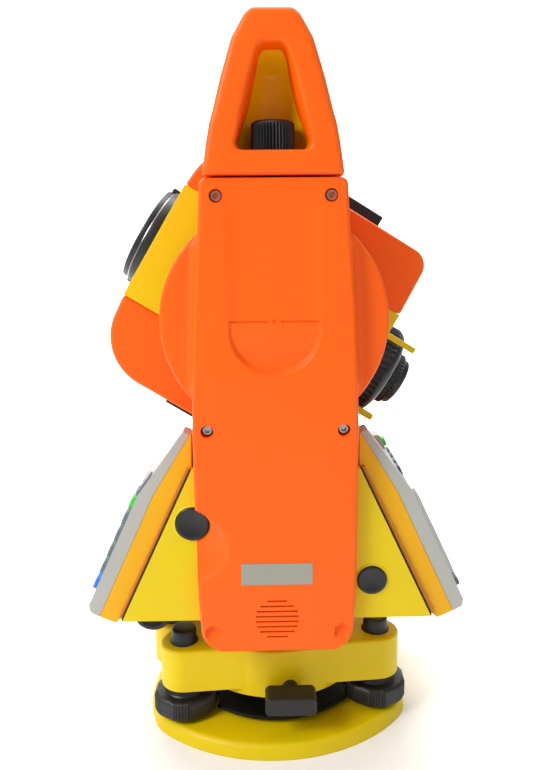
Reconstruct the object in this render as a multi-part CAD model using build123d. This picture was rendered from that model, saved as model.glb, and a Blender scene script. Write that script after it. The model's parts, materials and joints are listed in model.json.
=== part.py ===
from build123d import *
import os
from math import atan2, cos, hypot, radians, sin, sqrt

os.makedirs("parts", exist_ok=True)

# A surveying theodolite (total station) on its tribrach, in millimetres. The origin is the tripod
# thread's axis at the underside of the base plate, +Z is up, and the trunnion axis runs along Y.
# The side with the rating plate faces -Y. The telescope's objective points to -X and upwards.

# ---- Fits ----
running_gap = 0.05          # radial clearance of a shaft or screw in its bore
pass_gap = 0.5              # space between bodies that move past each other
joint_line = 1.0            # dark line between the handle and the side covers

# ---- Overall ----
total_height = 350.0
trunnion_height = 220.5
elevation = 31.5            # how far the objective points up at rest, degrees
swing_gap = 5.0             # between the turning telescope's furthest point and the body under it
standard_gap = 7.0          # between the telescope's side and a standard

# ---- Base plate and spring plate ----
base_thickness = 7.0
base_edge_radius = 2.2
base_side_offset = 17.6     # how far each side's arc is centred behind the origin
base_corner_margin = 16.9   # from a footscrew's axis to the corner that the sides would make
base_corner_radius = 26.0
boss_radius = 20.0
spring_plate_radius = 50.5
spring_plate_low = 9.5
spring_plate_thickness = 1.5
thread_radius = 6.75        # 5/8-11 tripod screw, tapping drill
screw_hole_clear = 8.0

# ---- Footscrews ----
footscrew_circle = 60.0
footscrew_angles = {"footscrew_left": 214.7, "footscrew_right": 334.7, "footscrew_rear": 94.7}
knob_radius = 17.0
knob_low = 8.5
knob_high = 19.5
knob_facets = 8
collar_radius = 11.0
collar_height = 3.2
foot_radius = 5.0
foot_depth = 2.5
screw_radius = 4.0
bush_radius = 6.5
footscrew_cap_radius = 6.64
footscrew_cap_height = 7.8

# ---- Tribrach ----
tribrach_low = 24.0
tribrach_top = 47.0
skirt_low = 20.5
tribrach_core_radius = 47.5
lobe_radius = 12.5
tribrach_edge_radius = 1.6
plug_radius = 20.0
ring_cavity_radius = 34.0
lock_ring_radius = 38.7
lock_ring_low = 36.3
lock_ring_height = 4.4
level_place = (-56.0, -9.0)
level_pad_radius = 12.5
level_radius = 9.5
level_glass_radius = 6.5
level_height = 5.0
lock_place = (6.6, 26.5)    # X and Z of the lock knob's axis
lock_width = 26.0
lock_height = 9.6
lock_front = 65.0
lock_back = 52.5
lock_shaft_radius = 4.0
lock_chamfer = 1.6

# ---- Instrument base ----
flange_radius = 40.0
flange_thickness = 5.5
hub_wall = 5.0
hub_low = 30.0
circle_low = 56.5
circle_thickness = 2.0
circle_radius = 36.0
circle_bore_step = 2.0      # the circle's bore is this much smaller than the hub in radius
spindle_radius = 11.0
hub_radius = spindle_radius + hub_wall
circle_bore_radius = hub_radius - circle_bore_step
spindle_flange_radius = 24.0
skirt_radius = 46.0
skirt_wall = 5.0
skirt_bottom = 54.0

# ---- Alidade body ----
body_bottom = 73.3
body_foot = 76.0            # half width at the bottom
body_shoulder = 40.0        # half width at the top
body_top_drop = 70.5        # from the trunnion axis down to the body's shoulder
body_side = 61.5            # half depth
body_top = trunnion_height - body_top_drop
web_thickness = 6.7
cavity_half = 46.0
cavity_height = 35.0
board_half = 39.0
board_thickness = 1.6
post_height = 14.0
post_radius = 3.0
cable_hole_radius = 6.0
cable_hole_place = 32.0
chips = (((-25, -9), (-20, -4), 3.0), ((6, 26), (-24, -6), 2.4), ((-8, 8), (12, 26), 4.5))
vial_radius = 5.0
vial_half = 22.0
vial_height = 125.0

# ---- Standards, axles and circle ----
arm_half = 24.0
arm_plate = 3.0
arm_head_wall = 4.0         # around the handle screw's thread, at the top of the standard
axle_radius = 10.0
axle_flange_radius = 18.0
bearing_radius = 17.0
bearing_step = 4.0          # from the standard's inner face to the bearing
bearing_width = 9.0
vertical_circle_radius = 36.0
vertical_circle_thickness = 1.5

# ---- Side covers ----
cover_stand = 6.5           # how far the cover's face stands out from the body's side
cover_bottom = 59.3
cover_rise = 62.0           # from the trunnion axis up to the cover's top
cover_foot_half = 36.6
cover_waist_half = 38.3
cover_swell = 0.6           # how far the lower sides bow out from straight
cover_waist_drop = 55.5
cover_shoulder_half = 35.9
cover_shoulder_rise = 7.5
cover_top_half = 32.0
cover_foot_radius = 11.0
cover_top_radius = 3.0
cover_wall = 3.0
cover_wrap = 9.5            # how far the cover wraps back under the body
dome_radius = 52.5
dome_step = 8.0             # the dome's face lies this far behind the cover's face
dish_radius = 17.5          # of the thumb dish's rim on the cover's face
dish_place = (-40.0, 113.0)
dish_depth = 5.0
dish_floor = 1.6            # material left around the dish inside the cover
cover_screw_places = tuple((side * x, trunnion_height + rise)
                           for side in (1, -1) for x, rise in ((25.0, 54.5), (31.5, -50.2)))
cover_screw_radius = 2.9
counterbore_radius = 3.3
screw_boss_wall = 1.5
plate_half = 17.0
plate_low = 94.8
plate_height = 10.8
plate_thickness = 0.5
grille_height = 77.0
grille_radius = 10.0
grille_pitch = 2.65
grille_slot = 0.7

# ---- Handle ----
handle_overhang = 2.0       # past the cover's face
leg_depth = 24.0
handle_foot_half = 30.5
handle_belly_half = 25.5
handle_belly_rise = 28.0
handle_neck_half = 16.9
handle_neck_drop = 11.5
handle_crown_half = 9.0
handle_crown_radius = 4.0
bar_depth = 13.5
window_low_rise = 11.3
window_top_drop = 13.8
window_low_half = 15.9
window_top_half = 5.6
window_corner = 3.0
leg_floor_rise = 5.0
core_thickness = 3.0
handle_screw_radius = 9.5
handle_screw_rise = 24.2
handle_screw_inset = 13.0
handle_stud_radius = 4.0
handle_stud_depth = 10.5

# ---- Display panels ----
panel_inset = 4.5           # the panel is this much narrower than the body on each side
panel_top = (body_shoulder + 3.6, body_top + 17.7)
panel_bend = (body_foot - 9.2, body_bottom + 62.5)
panel_nose = (body_foot + 17.0, body_bottom + 6.6)
panel_chin = (body_foot + 16.4, body_bottom + 2.9)
seam_top = (body_shoulder + 0.6, body_top + 16.4)
seam_bend = (body_foot - 17.0, body_bottom + 63.2)
seam_bottom = (body_foot + 12.2, body_bottom + 0.3)
bezel_heel = (body_foot + 4.2, body_bottom - 3.3)
bezel_top_back = (body_shoulder - 0.4, body_top + 16.0)
panel_strip = 46.0          # the side strips that rise past the housing's top start this far out
middle_edge = 8.0           # where the display's half ends and the keypad's starts, to the user's right
display_top = body_bottom + 46.7
keypad_top = body_bottom + 54.7
far_strip_top = body_bottom + 63.2
display_s = (18.5, 47.0)    # down the panel from its bend
display_w = (-54.5, 6.0)    # across the panel, from the user's left
display_rise = 1.8
window_inset = 5.0
window_thickness = 1.2
key_rise = 1.5
key_depth = 2.0
key_pocket = 3.1            # depth of a key's pocket, which leaves room for its travel
key_gap = 0.3
key_columns = (17.0, 28.5, 40.0, 51.0)
key_rows = (13.5, 22.8, 32.1, 41.4, 50.7)
key_size = (6.2, 8.0)
power_place = (5.0, 51.0)
power_size = (5.6, 7.0)
function_row = 55.5
function_columns = (-46.0, -32.0, -18.0, -4.0)
function_size = (4.6, 9.0)

# ---- Telescope, in its own frame: u towards the objective, v up ----
scope_half = 30.0
scope_front = 68.0
scope_rear = 54.5
scope_top = 62.5
scope_bottom = 65.5
seam_up = 31.5
seam_down = 29.7
front_corner_radius = 27.0
rear_corner_radius = 9.0
scope_wall = 3.0
tube_radius = 20.0
sleeve_radius = 17.0
sleeve_length = 16.0
objective_radius = 26.0
objective_length = 8.5
objective_bore = 21.0
objective_spigot_radius = 24.0
objective_spigot = 8.0
lens_thickness = 4.0
lens_bulge = 2.2
focus_ring_radius = 25.0
focus_ring_start = 56.0
focus_ring_length = 14.0
eyepiece_radius = 14.5
eyepiece_start = 71.5
eyepiece_end = 79.5
eyepiece_bore = 8.0
eyepiece_spigot_radius = 10.0
eyepiece_spigot = 11.0
prong_end = 70.8
prong_height = 20.0
prong_thickness = 3.0
prong_inner = 25.0
sight_half_width = 4.5
sight_height = 7.5
sight_front = 24.0
sight_rear = 25.0
focus_lens_place = -15.0
focus_lens_width = 10.0
edm_u = (-22.0, 32.0)
edm_half = 20.0
edm_height = 20.0

# ---- Motion knobs ----
horizontal_knobs = (-63.5, 69.5)    # X and Z of the pair's axis
horizontal_front = 47.0
horizontal_back = 23.0
bracket = ((-73.0, -56.0), (-22.0, -4.0), (60.5, 73.4))
vertical_drop = 25.0        # from the battery's lower edge down to the vertical pair's axis
vertical_reach = 23.0       # how far the vertical pair stands out from the cover
vertical_gap = 0.6
knob_step = 0.5
tangent_radius = 10.0
clamp_radius = 9.3
tangent_share = 0.56        # of the pair's length taken by the tangent knob
tangent_shaft_radius = 3.0
clamp_shaft_radius = 5.0
shaft_reach = 14.0

# ---- Battery and port caps ----
battery_half = 29.0
battery_height = 108.0
battery_drop = 14.5         # from the cover's top
battery_gap = 0.4
battery_depth = 17.5
latch_half = 9.0
latch_gap = 0.8
latch_height = 7.0
latch_depth = 6.0
latch_travel = 2.5
port_caps = {"data_port_cap": (-40.0, 123.7, 8.2), "power_port_cap": (46.3, 93.4, 7.2)}
cap_rise = 1.3
plug_share = 0.72
plug_depth = 7.0

# ---- Places that follow from the sizes above ----
base_corner = footscrew_circle + base_corner_margin
base_side_radius = sqrt(base_corner ** 2 + base_corner * base_side_offset + base_side_offset ** 2)
swing_radius = hypot(eyepiece_end, eyepiece_radius) + swing_gap
standard_inner = scope_half + standard_gap
cover_face = body_side + cover_stand
cover_top = trunnion_height + cover_rise
cover_waist_height = trunnion_height - cover_waist_drop
cover_shoulder_height = trunnion_height + cover_shoulder_rise
cover_hem = body_side - cover_wrap
dome_height = trunnion_height - 1.0
dome_face = cover_face - dome_step
arm_top = cover_top - cover_wall - pass_gap
axle_end = dome_face - cover_wall - 1.0
arm_depth = axle_end - 4.0 - standard_inner
bearing_low = standard_inner + bearing_step
bearing_high = bearing_low + bearing_width
handle_face = cover_face + handle_overhang
handle_foot = cover_top + joint_line
handle_belly = (handle_belly_half, cover_top + handle_belly_rise)
handle_neck = (handle_neck_half, total_height - handle_neck_drop)
bar_underside = total_height - bar_depth
window_low = cover_top + window_low_rise
window_top = total_height - window_top_drop
leg_floor = cover_top + leg_floor_rise
handle_screw_top = cover_top + handle_screw_rise
handle_screw_place = handle_face - handle_screw_inset
handle_stud_low = cover_top - handle_stud_depth
panel_half = body_side - panel_inset
battery_high = cover_top - battery_drop
battery_low = battery_high - battery_height
latch_low = battery_high + latch_gap
vertical_knobs = (0.0, battery_low - vertical_drop)
vertical_front = cover_face + vertical_reach
vertical_back = cover_face + vertical_gap

upright = (Align.CENTER, Align.CENTER, Align.MIN)


# ---- Helpers ----
def disc(radius, low, high, x=0.0, y=0.0):
    return Pos(x, y, low) * Cylinder(radius, high - low, align=upright)


def disc_y(radius, low, high, x, z):
    """A cylinder along Y, from low to high."""
    return Location((x, high, z), (90, 0, 0)) * Cylinder(radius, high - low, align=upright)


def disc_u(radius, low, high, v=0.0, y=0.0):
    """A cylinder along the telescope's own u axis."""
    return Location((low, y, v), (0, 90, 0)) * Cylinder(radius, high - low, align=upright)


def block(x, y, z):
    """A box given by its low and high value on each axis."""
    middle = Pos((x[0] + x[1]) / 2, (y[0] + y[1]) / 2, (z[0] + z[1]) / 2)
    return middle * Box(x[1] - x[0], y[1] - y[0], z[1] - z[0])


def slab(face, low, high):
    """An outline drawn in X and Z, thickened along Y from low to high."""
    return extrude(Plane.XZ.offset(-high) * face, high - low)


def polygon(points):
    return make_face(Polyline(*points, close=True))


def both_sides(edges):
    """A face from the right half of its outline and the mirrored left half."""
    right = Curve() + edges
    return make_face(right.edges() + mirror(right, Plane.YZ).edges())


def around(radius, angle):
    return radius * cos(radians(angle)), radius * sin(radians(angle))


def save(name, shape):
    export_step(shape, f"parts/{name}.step")


def group(name, solids):
    """Several separate solids in one node."""
    save(name, Compound(children=[solid for part in solids for solid in part.solids()]))


# ---- Base plate, spring plate ----
def base_plate():
    circles = [Pos(*around(base_side_offset, angle)) * Circle(base_side_radius)
               for angle in footscrew_angles.values()]
    outline = circles[0] & circles[1] & circles[2]
    outline = fillet(outline.vertices(), base_corner_radius)
    plate = extrude(outline, base_thickness)
    plate = fillet(plate.edges().group_by(Axis.Z)[-1], base_edge_radius)
    plate += disc(boss_radius, base_thickness - 1, spring_plate_low)
    plate -= disc(thread_radius, -1, base_thickness + 1)
    plate -= disc(screw_hole_clear, base_thickness, spring_plate_low + 1)
    for angle in footscrew_angles.values():
        x, y = around(footscrew_circle, angle)
        plate -= disc(foot_radius + running_gap, base_thickness - foot_depth, base_thickness + 1, x, y)
    return plate


def spring_plate():
    top = spring_plate_low + spring_plate_thickness
    plate = disc(spring_plate_radius, spring_plate_low, top)
    plate -= disc(screw_hole_clear, spring_plate_low - 1, top + 1)
    for angle in footscrew_angles.values():
        x, y = around(footscrew_circle, angle)
        plate -= disc(knob_radius + 2 * pass_gap, spring_plate_low - 1, top + 1, x, y)
    return plate


# ---- Footscrews ----
def footscrew(angle):
    x, y = around(footscrew_circle, angle)
    facets = RegularPolygon(knob_radius, knob_facets, major_radius=True)
    knob = Pos(0, 0, knob_low) * extrude(facets & Circle(knob_radius * 0.985), knob_high - knob_low)
    knob += disc(collar_radius, knob_high - 1, knob_high + collar_height)
    knob += disc(foot_radius, base_thickness - foot_depth, knob_low + 1)
    knob += disc(screw_radius, knob_high, tribrach_top - 1)
    return Pos(x, y) * Rot(0, 0, angle) * knob


def footscrew_bush(angle):
    x, y = around(footscrew_circle, angle)
    bush = disc(bush_radius, tribrach_low, tribrach_top - pass_gap)
    bush -= disc(screw_radius + running_gap, tribrach_low - 1, tribrach_top)
    return Pos(x, y) * bush


def footscrew_cap(angle):
    x, y = around(footscrew_circle, angle)
    cap = disc(footscrew_cap_radius, tribrach_top, tribrach_top + footscrew_cap_height)
    cap = fillet(cap.edges().group_by(Axis.Z)[-1], 1.0)
    return Pos(x, y) * cap


# ---- Tribrach ----
def tribrach_body():
    lobes = [Pos(*around(footscrew_circle, angle)) * Circle(lobe_radius)
             for angle in footscrew_angles.values()]
    outline = make_hull([edge for lobe in lobes for edge in lobe.edges()])
    outline += Circle(tribrach_core_radius)
    outline += Pos(*level_place) * Circle(level_pad_radius)
    body = Pos(0, 0, tribrach_low) * extrude(outline, tribrach_top - tribrach_low)
    body = fillet(body.edges().group_by(Axis.Z)[-1], tribrach_edge_radius)
    body += disc(tribrach_core_radius, skirt_low, tribrach_low + 1)
    for angle in footscrew_angles.values():
        x, y = around(footscrew_circle, angle)
        body -= disc(bush_radius, skirt_low - 1, tribrach_top - pass_gap, x, y)
        body -= disc(collar_radius + pass_gap, skirt_low - 1, tribrach_low, x, y)
    body -= disc(ring_cavity_radius, skirt_low - 1, lock_ring_low + lock_ring_height + pass_gap)
    body -= disc(lock_ring_radius + pass_gap, lock_ring_low - pass_gap,
                 lock_ring_low + lock_ring_height + pass_gap)
    body -= disc(plug_radius, skirt_low, tribrach_top + 1)
    x, z = lock_place
    body -= disc_y(lock_shaft_radius + running_gap, -lock_front, -ring_cavity_radius + 4, x, z)
    body -= disc(level_radius - 1.5, tribrach_top - 3, tribrach_top + 1, *level_place)
    body -= block((x - lock_width, x + lock_width), (-lock_front, -lock_back + pass_gap),
                  (skirt_low - 1, z + lock_height))
    return body


def lock_knob():
    x, z = lock_place
    half, tall = lock_width / 2, lock_height / 2
    profile = Rectangle(2 * half, 2 * tall)
    profile = chamfer(profile.vertices(), lock_chamfer)
    knob = slab(Pos(x, z) * profile, -lock_front, -lock_back)
    knob += disc_y(lock_shaft_radius, -lock_back - 1, -ring_cavity_radius + 2, x, z)
    return knob


def lock_ring():
    high = lock_ring_low + lock_ring_height
    ring = disc(lock_ring_radius, lock_ring_low, high)
    return ring - disc(ring_cavity_radius - 6, lock_ring_low - 1, high + 1)


def circular_level_housing():
    low, high = tribrach_top, tribrach_top + level_height - 1
    housing = disc(level_radius, low, high, *level_place)
    housing += disc(level_radius - 1.5, low - 3, low + 1, *level_place)
    return housing - disc(level_glass_radius, low - 1.5, high + 1, *level_place)


def circular_level_glass():
    high = tribrach_top + level_height
    glass = disc(level_glass_radius, tribrach_top - 1.5, high, *level_place)
    return fillet(glass.edges().group_by(Axis.Z)[-1], 0.9)


# ---- Instrument base ----
def base_flange():
    high = tribrach_top + flange_thickness
    flange = disc(flange_radius, tribrach_top, high)
    flange += disc(plug_radius, hub_low, tribrach_top + 1)
    flange += disc(hub_radius, high - 1, circle_low)
    flange += disc(circle_bore_radius, circle_low - 1, circle_low + circle_thickness)
    flange -= disc(spindle_radius + running_gap, hub_low - 1, circle_low + circle_thickness + 1)
    return flange


def horizontal_circle():
    high = circle_low + circle_thickness
    ring = disc(circle_radius, circle_low, high)
    return ring - disc(circle_bore_radius, circle_low - 1, high + 1)


def vertical_spindle():
    web_top = body_bottom + web_thickness
    spindle = disc(spindle_radius, hub_low + 2, web_top)
    return spindle + disc(spindle_flange_radius, web_top, web_top + 4)


# ---- Alidade body ----
def arm_outline(margin):
    """A standard's outline: the side cover's, drawn in by a margin, above the body's shoulder."""
    outline = offset(cover_outline(), -margin, kind=Kind.INTERSECTION)
    outline += Pos(0, dome_height) * Circle(dome_radius - margin)
    return outline


def alidade_body():
    trapezoid = polygon([(-body_foot, body_bottom), (body_foot, body_bottom),
                         (body_shoulder, body_top), (-body_shoulder, body_top)])
    body = slab(trapezoid, -body_side, body_side)
    body += disc(skirt_radius, skirt_bottom, body_bottom + 1)
    arm_face = arm_outline(cover_wall) & (Pos(0, (body_top + arm_top) / 2)
                                          * Rectangle(4 * dome_radius, arm_top - body_top + 2))
    for side in (-1, 1):
        low, high = sorted((side * standard_inner, side * (standard_inner + arm_plate)))
        body += slab(arm_face, low, high)
        low, high = sorted((side * standard_inner, side * (standard_inner + arm_depth)))
        body += block((-arm_half, arm_half), (low, high), (body_top - 1, arm_top))
        low, high = sorted((side * standard_inner, side * (handle_screw_place + arm_head_wall)))
        half = handle_stud_radius + arm_head_wall
        body += block((-half, half), (low, high), (handle_stud_low - 2, arm_top))
    body -= block((-body_foot, body_foot), (-standard_inner, standard_inner),
                  (trunnion_height - swing_radius, arm_top + 1))
    for side in (-1, 1):
        low, high = sorted((side * (standard_inner - 1), side * cover_face))
        body -= disc_y(axle_radius + pass_gap, low, high, 0, trunnion_height)
        low, high = sorted((side * bearing_low, side * cover_face))
        body -= disc_y(bearing_radius, low, high, 0, trunnion_height)
        stud = handle_stud_radius + running_gap
        body -= disc(stud, handle_stud_low - 1, arm_top + 1, 0, side * handle_screw_place)
        for x, z in cover_screw_places:
            low, high = sorted((side * (standard_inner + 1), side * cover_face))
            body -= disc_y(cover_screw_radius / 2, low, high, x, z)
            low, high = sorted((side * (standard_inner + arm_plate), side * cover_face))
            body -= disc_y(counterbore_radius + screw_boss_wall, low, high, x, z)
    body -= block((-cavity_half, cavity_half), (-cavity_half, cavity_half),
                  (body_bottom + web_thickness, body_bottom + web_thickness + cavity_height))
    for x in (-1, 1):
        for y in (-1, 1):
            body += disc(post_radius, body_bottom + 1, body_bottom + web_thickness + post_height,
                         x * (board_half - 5), y * (board_half - 5))
        body -= disc(cable_hole_radius, body_bottom - 1, body_bottom + web_thickness + 1,
                     x * cable_hole_place, 0)
    body -= disc(skirt_radius - skirt_wall, skirt_bottom - 1, body_bottom)
    body -= disc(spindle_radius, body_bottom - 1, body_bottom + web_thickness + 1)
    body += block(*bracket)
    x, z = horizontal_knobs
    pocket = tangent_radius + 2 * pass_gap
    body -= disc_y(pocket, -horizontal_front - 2, -horizontal_back + pass_gap, x, z)
    body -= disc_y(clamp_shaft_radius + running_gap, -horizontal_front, bracket[1][1] - 3, x, z)
    x, z = vertical_knobs
    body -= disc_y(clamp_shaft_radius + running_gap, body_side - shaft_reach, body_side + 1, x, z)
    body -= block((-vial_radius - pass_gap, vial_radius + pass_gap), (-vial_half, vial_half),
                  (vial_height, body_top))
    body -= disc_y(vial_radius, -vial_half, vial_half, 0, vial_height)
    for x, z, radius in port_caps.values():
        bore = radius * plug_share + running_gap
        body -= disc_y(bore, -body_side - 1, -body_side + plug_depth + 1, x, z)
    return body


def main_board():
    low = body_bottom + web_thickness + post_height
    board = block((-board_half, board_half), (-board_half, board_half), (low, low + board_thickness))
    for x, y, tall in chips:
        board += block(x, y, (low + 1, low + board_thickness + tall))
    return board


def plate_level():
    return disc_y(vial_radius, -vial_half, vial_half, 0, vial_height)


# ---- Side covers ----
def cover_outline():
    """The cover's outline: a slightly swelling lower part and shoulders drawn in to the top."""
    foot, waist = (cover_foot_half, cover_bottom), (cover_waist_half, cover_waist_height)
    middle = ((foot[0] + waist[0]) / 2 + cover_swell, (foot[1] + waist[1]) / 2)
    edges = [Line((0, cover_bottom), foot),
             ThreePointArc(foot, middle, waist),
             ThreePointArc(waist, (cover_shoulder_half, cover_shoulder_height), (cover_top_half, cover_top)),
             Line((cover_top_half, cover_top), (0, cover_top))]
    outline = both_sides(edges)
    rows = outline.vertices().group_by(Axis.Y)
    outline = fillet(rows[0], cover_foot_radius)
    return fillet(outline.vertices().group_by(Axis.Y)[-1], cover_top_radius)


def side_cover(side):
    """One side cover: a shell that stands in front of the standard and hangs over the body."""
    outline = cover_outline()
    inner = offset(outline, -cover_wall, kind=Kind.INTERSECTION)
    dome = Pos(0, dome_height) * Circle(dome_radius)
    upper = Pos(0, body_top + 100 + pass_gap) * Rectangle(4 * cover_waist_half, 200)
    lower = Pos(0, body_bottom - 50 - pass_gap) * Rectangle(4 * cover_waist_half, 100)
    cover = slab(outline, -cover_face, -body_side)
    cover += slab(outline & upper, -cover_face, -standard_inner)
    cover += slab(outline & lower, -cover_face, -cover_hem)
    cover += slab(dome, -dome_face, -standard_inner)
    cover -= slab(inner & upper, -cover_face + cover_wall, -standard_inner + 1)
    cover -= slab(Pos(0, dome_height) * Circle(dome_radius - cover_wall),
                  -dome_face + cover_wall, -standard_inner + 1)
    cover -= slab(inner & (Pos(0, (body_bottom + body_top) / 2)
                           * Rectangle(4 * cover_waist_half, body_top - body_bottom - 12)),
                  -cover_face + cover_wall, -body_side + 1)
    cover -= slab(inner & lower, -cover_face + cover_wall, -cover_hem + 1)
    for x, z in cover_screw_places:
        boss = counterbore_radius + screw_boss_wall
        cover += disc_y(boss, -cover_face + 1, -standard_inner - arm_plate, x, z)
        cover -= disc_y(counterbore_radius, -cover_face - 1, -cover_face + cover_wall, x, z)
        cover -= disc_y(cover_screw_radius / 2, -cover_face, -standard_inner, x, z)
    cover -= disc(handle_stud_radius + pass_gap, arm_top, cover_top + 1, 0, -handle_screw_place)
    if side < 0:
        return cover
    return mirror(cover, Plane.XZ)


def near_side_cover():
    cover = side_cover(-1)
    x, z = dish_place
    filling = cover_outline() & (Pos(x, z) * Circle(dish_radius + dish_floor))
    cover += slab(filling, -cover_face, -body_side)
    ball = (dish_radius ** 2 + dish_depth ** 2) / (2 * dish_depth)
    cover -= Pos(x, -cover_face - ball + dish_depth, z) * Sphere(ball)
    x, z, radius = port_caps["data_port_cap"]
    cap = Pos(x, z) * Circle(radius + pass_gap)
    cover -= slab(cap, -cover_face - 1, -body_side + 1)
    cover -= block((-plate_half, plate_half), (-cover_face - 1, -cover_face + plate_thickness / 2),
                   (plate_low, plate_low + plate_height))
    count = int(grille_radius / grille_pitch)
    for row in range(-count, count):
        z = (row + 0.5) * grille_pitch
        half = sqrt(grille_radius ** 2 - z ** 2)
        cover -= block((-half, half), (-cover_face - 1, -cover_face + cover_wall + 1),
                       (grille_height + z - grille_slot / 2, grille_height + z + grille_slot / 2))
    return cover


def far_side_cover():
    cover = side_cover(1)
    x, z = vertical_knobs
    cover -= disc_y(clamp_shaft_radius + pass_gap, body_side - 1, cover_face + 1, x, z)
    cover -= block((-latch_half - key_gap, latch_half + key_gap),
                   (cover_face - cover_wall - 1, cover_face + 1),
                   (latch_low - key_gap, latch_low + latch_height + latch_travel + key_gap))
    return cover


def cover_screws():
    screws = []
    for side in (-1, 1):
        for x, z in cover_screw_places:
            low, high = sorted((side * (cover_face - cover_wall), side * (cover_face - 0.6)))
            head = disc_y(cover_screw_radius, low, high, x, z)
            low, high = sorted((side * (cover_face - cover_wall + 0.5), side * (standard_inner + 1)))
            shank = disc_y(cover_screw_radius / 2, low, high, x, z)
            low, high = sorted((side * (cover_face - 2.0), side * cover_face))
            socket = Location((x, high, z), (90, 0, 0)) * extrude(RegularPolygon(1.5, 6), high - low)
            screws.append(head + shank - socket)
    return screws


def rating_plate():
    depth = (-cover_face - plate_thickness / 2, -cover_face + plate_thickness / 2)
    return block((-plate_half, plate_half), depth, (plate_low, plate_low + plate_height))


# ---- Handle ----
def handle_outline(low):
    """The handle's ogive outline above a given height."""
    edges = [Line((0, low), (handle_foot_half, low)),
             ThreePointArc((handle_foot_half, low), handle_belly, handle_neck),
             Line(handle_neck, (handle_crown_half, total_height)),
             Line((handle_crown_half, total_height), (0, total_height))]
    outline = both_sides(edges)
    return fillet(outline.vertices().group_by(Axis.Y)[-1], handle_crown_radius)


def handle_window(grow=0.0):
    window = polygon([(-window_low_half, window_low), (window_low_half, window_low),
                      (window_top_half, window_top), (-window_top_half, window_top)])
    window = fillet(window.vertices(), window_corner)
    return offset(window, grow) if grow else window


def handle_shell():
    outline = handle_outline(handle_foot)
    inner = handle_face - leg_depth
    bar = Pos(0, (bar_underside + total_height) / 2 + 1)
    bar = bar * Rectangle(4 * handle_foot_half, total_height - bar_underside + 2)
    shell = slab(outline & bar, -handle_face, handle_face)
    for side in (-1, 1):
        low, high = sorted((side * inner, side * handle_face))
        shell += slab(outline, low, high)
        low, high = sorted((side * (inner - 1), side * (handle_face + 1)))
        shell -= slab(handle_window(), low, high)
        low, high = sorted((side * (inner - 1), side * (handle_face - 3)))
        shell -= block((-window_low_half + 2, window_low_half - 2), (low, high), (leg_floor, window_low + 6))
        stud = handle_stud_radius + pass_gap
        shell -= disc(stud, handle_foot - 1, leg_floor + 1, 0, side * handle_screw_place)
    return shell


def handle_core():
    """The inner liner: one bent strip that closes both windows from behind and lines the grip."""
    outer = handle_face - leg_depth
    inner = outer - core_thickness
    low = handle_foot + 2
    leg = handle_outline(low) & (Pos(0, low) * Rectangle(200, 2 * (bar_underside - low)))
    leg = offset(leg, -1.5, kind=Kind.INTERSECTION)
    core = slab(leg, -outer, -inner) + slab(leg, inner, outer)
    half = window_top_half + 8
    core += block((-half, half), (-outer, outer), (bar_underside - core_thickness, bar_underside))
    return core


def handle_screw(side):
    y = side * handle_screw_place
    knob = disc(handle_screw_radius, leg_floor + 0.3, handle_screw_top)
    knob = fillet(knob.edges().group_by(Axis.Z)[-1], 0.8)
    knob += disc(handle_stud_radius, handle_stud_low, leg_floor + 1)
    return Pos(0, y) * knob


# ---- Display panels ----
panel_slope = atan2(panel_bend[1] - panel_nose[1], panel_nose[0] - panel_bend[0])


def on_panel(side):
    """The frame of a panel's lower face: x down from the bend, y to the user's right, z outwards."""
    place = Plane(origin=(panel_bend[0], 0, panel_bend[1]),
                  x_dir=(cos(panel_slope), 0, -sin(panel_slope)),
                  z_dir=(sin(panel_slope), 0, cos(panel_slope)))
    if side > 0:
        return Location(place)
    return Rot(0, 0, 180) * Location(place)


def turned(shape, side):
    return shape if side > 0 else Rot(0, 0, 180) * shape


def swing_space(side):
    """What is cut from a panel and its bezel: the telescope's swing, and all above the housing's top."""
    reach = (0, 2 * body_foot)
    space = block(reach, (-panel_strip, middle_edge), (display_top, total_height))
    space += block(reach, (middle_edge, panel_strip), (keypad_top, total_height))
    if side > 0:
        space += block(reach, (panel_strip, body_side), (far_strip_top, total_height))
    else:
        space += block(reach, (-body_side, -panel_strip), (display_top, total_height))
    return turned(space, side) + disc_y(swing_radius, -standard_inner, standard_inner, 0, trunnion_height)


def bezel(side):
    outline = polygon([(body_foot, body_bottom), bezel_heel, seam_bottom, seam_bend, seam_top,
                       bezel_top_back, (body_shoulder, body_top)])
    return turned(slab(outline, -panel_half, panel_half), side) - swing_space(side)


def key_places(kind):
    """Down and across places of one kind of key, with its size down and across."""
    if kind == "power":
        return [power_place], power_size
    if kind == "function":
        return [(function_row, column) for column in function_columns], function_size
    return [(row, column) for row in key_rows for column in key_columns], key_size


def keys(kind, side, grow, low, high):
    """The blocks of one kind of key, grown by a gap, between two levels of the panel's face."""
    places, size = key_places(kind)
    shapes = []
    for s, w in places:
        outline = Rectangle(size[0] + 2 * grow, size[1] + 2 * grow)
        outline = fillet(outline.vertices(), 1.5)
        shapes.append(on_panel(side) * Pos(s, w, low) * extrude(outline, high - low))
    return shapes


def panel(side):
    outline = polygon([panel_top, panel_bend, panel_nose, panel_chin, seam_bottom, seam_bend, seam_top])
    shape = turned(slab(outline, -panel_half, panel_half), side)
    s_middle, w_middle = sum(display_s) / 2, sum(display_w) / 2
    s_size, w_size = display_s[1] - display_s[0], display_w[1] - display_w[0]
    frame = fillet(Rectangle(s_size, w_size).vertices(), 3)
    shape += on_panel(side) * Pos(s_middle, w_middle, -1) * extrude(frame, display_rise + 1)
    glass = Box(s_size - 2 * window_inset, w_size - 2 * window_inset, 2 * window_thickness)
    shape -= on_panel(side) * Pos(s_middle, w_middle, display_rise) * glass
    for kind in ("power", "function", "number"):
        for hole in keys(kind, side, key_gap, -key_pocket, key_rise + display_rise):
            shape -= hole
    return shape - swing_space(side)


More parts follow.
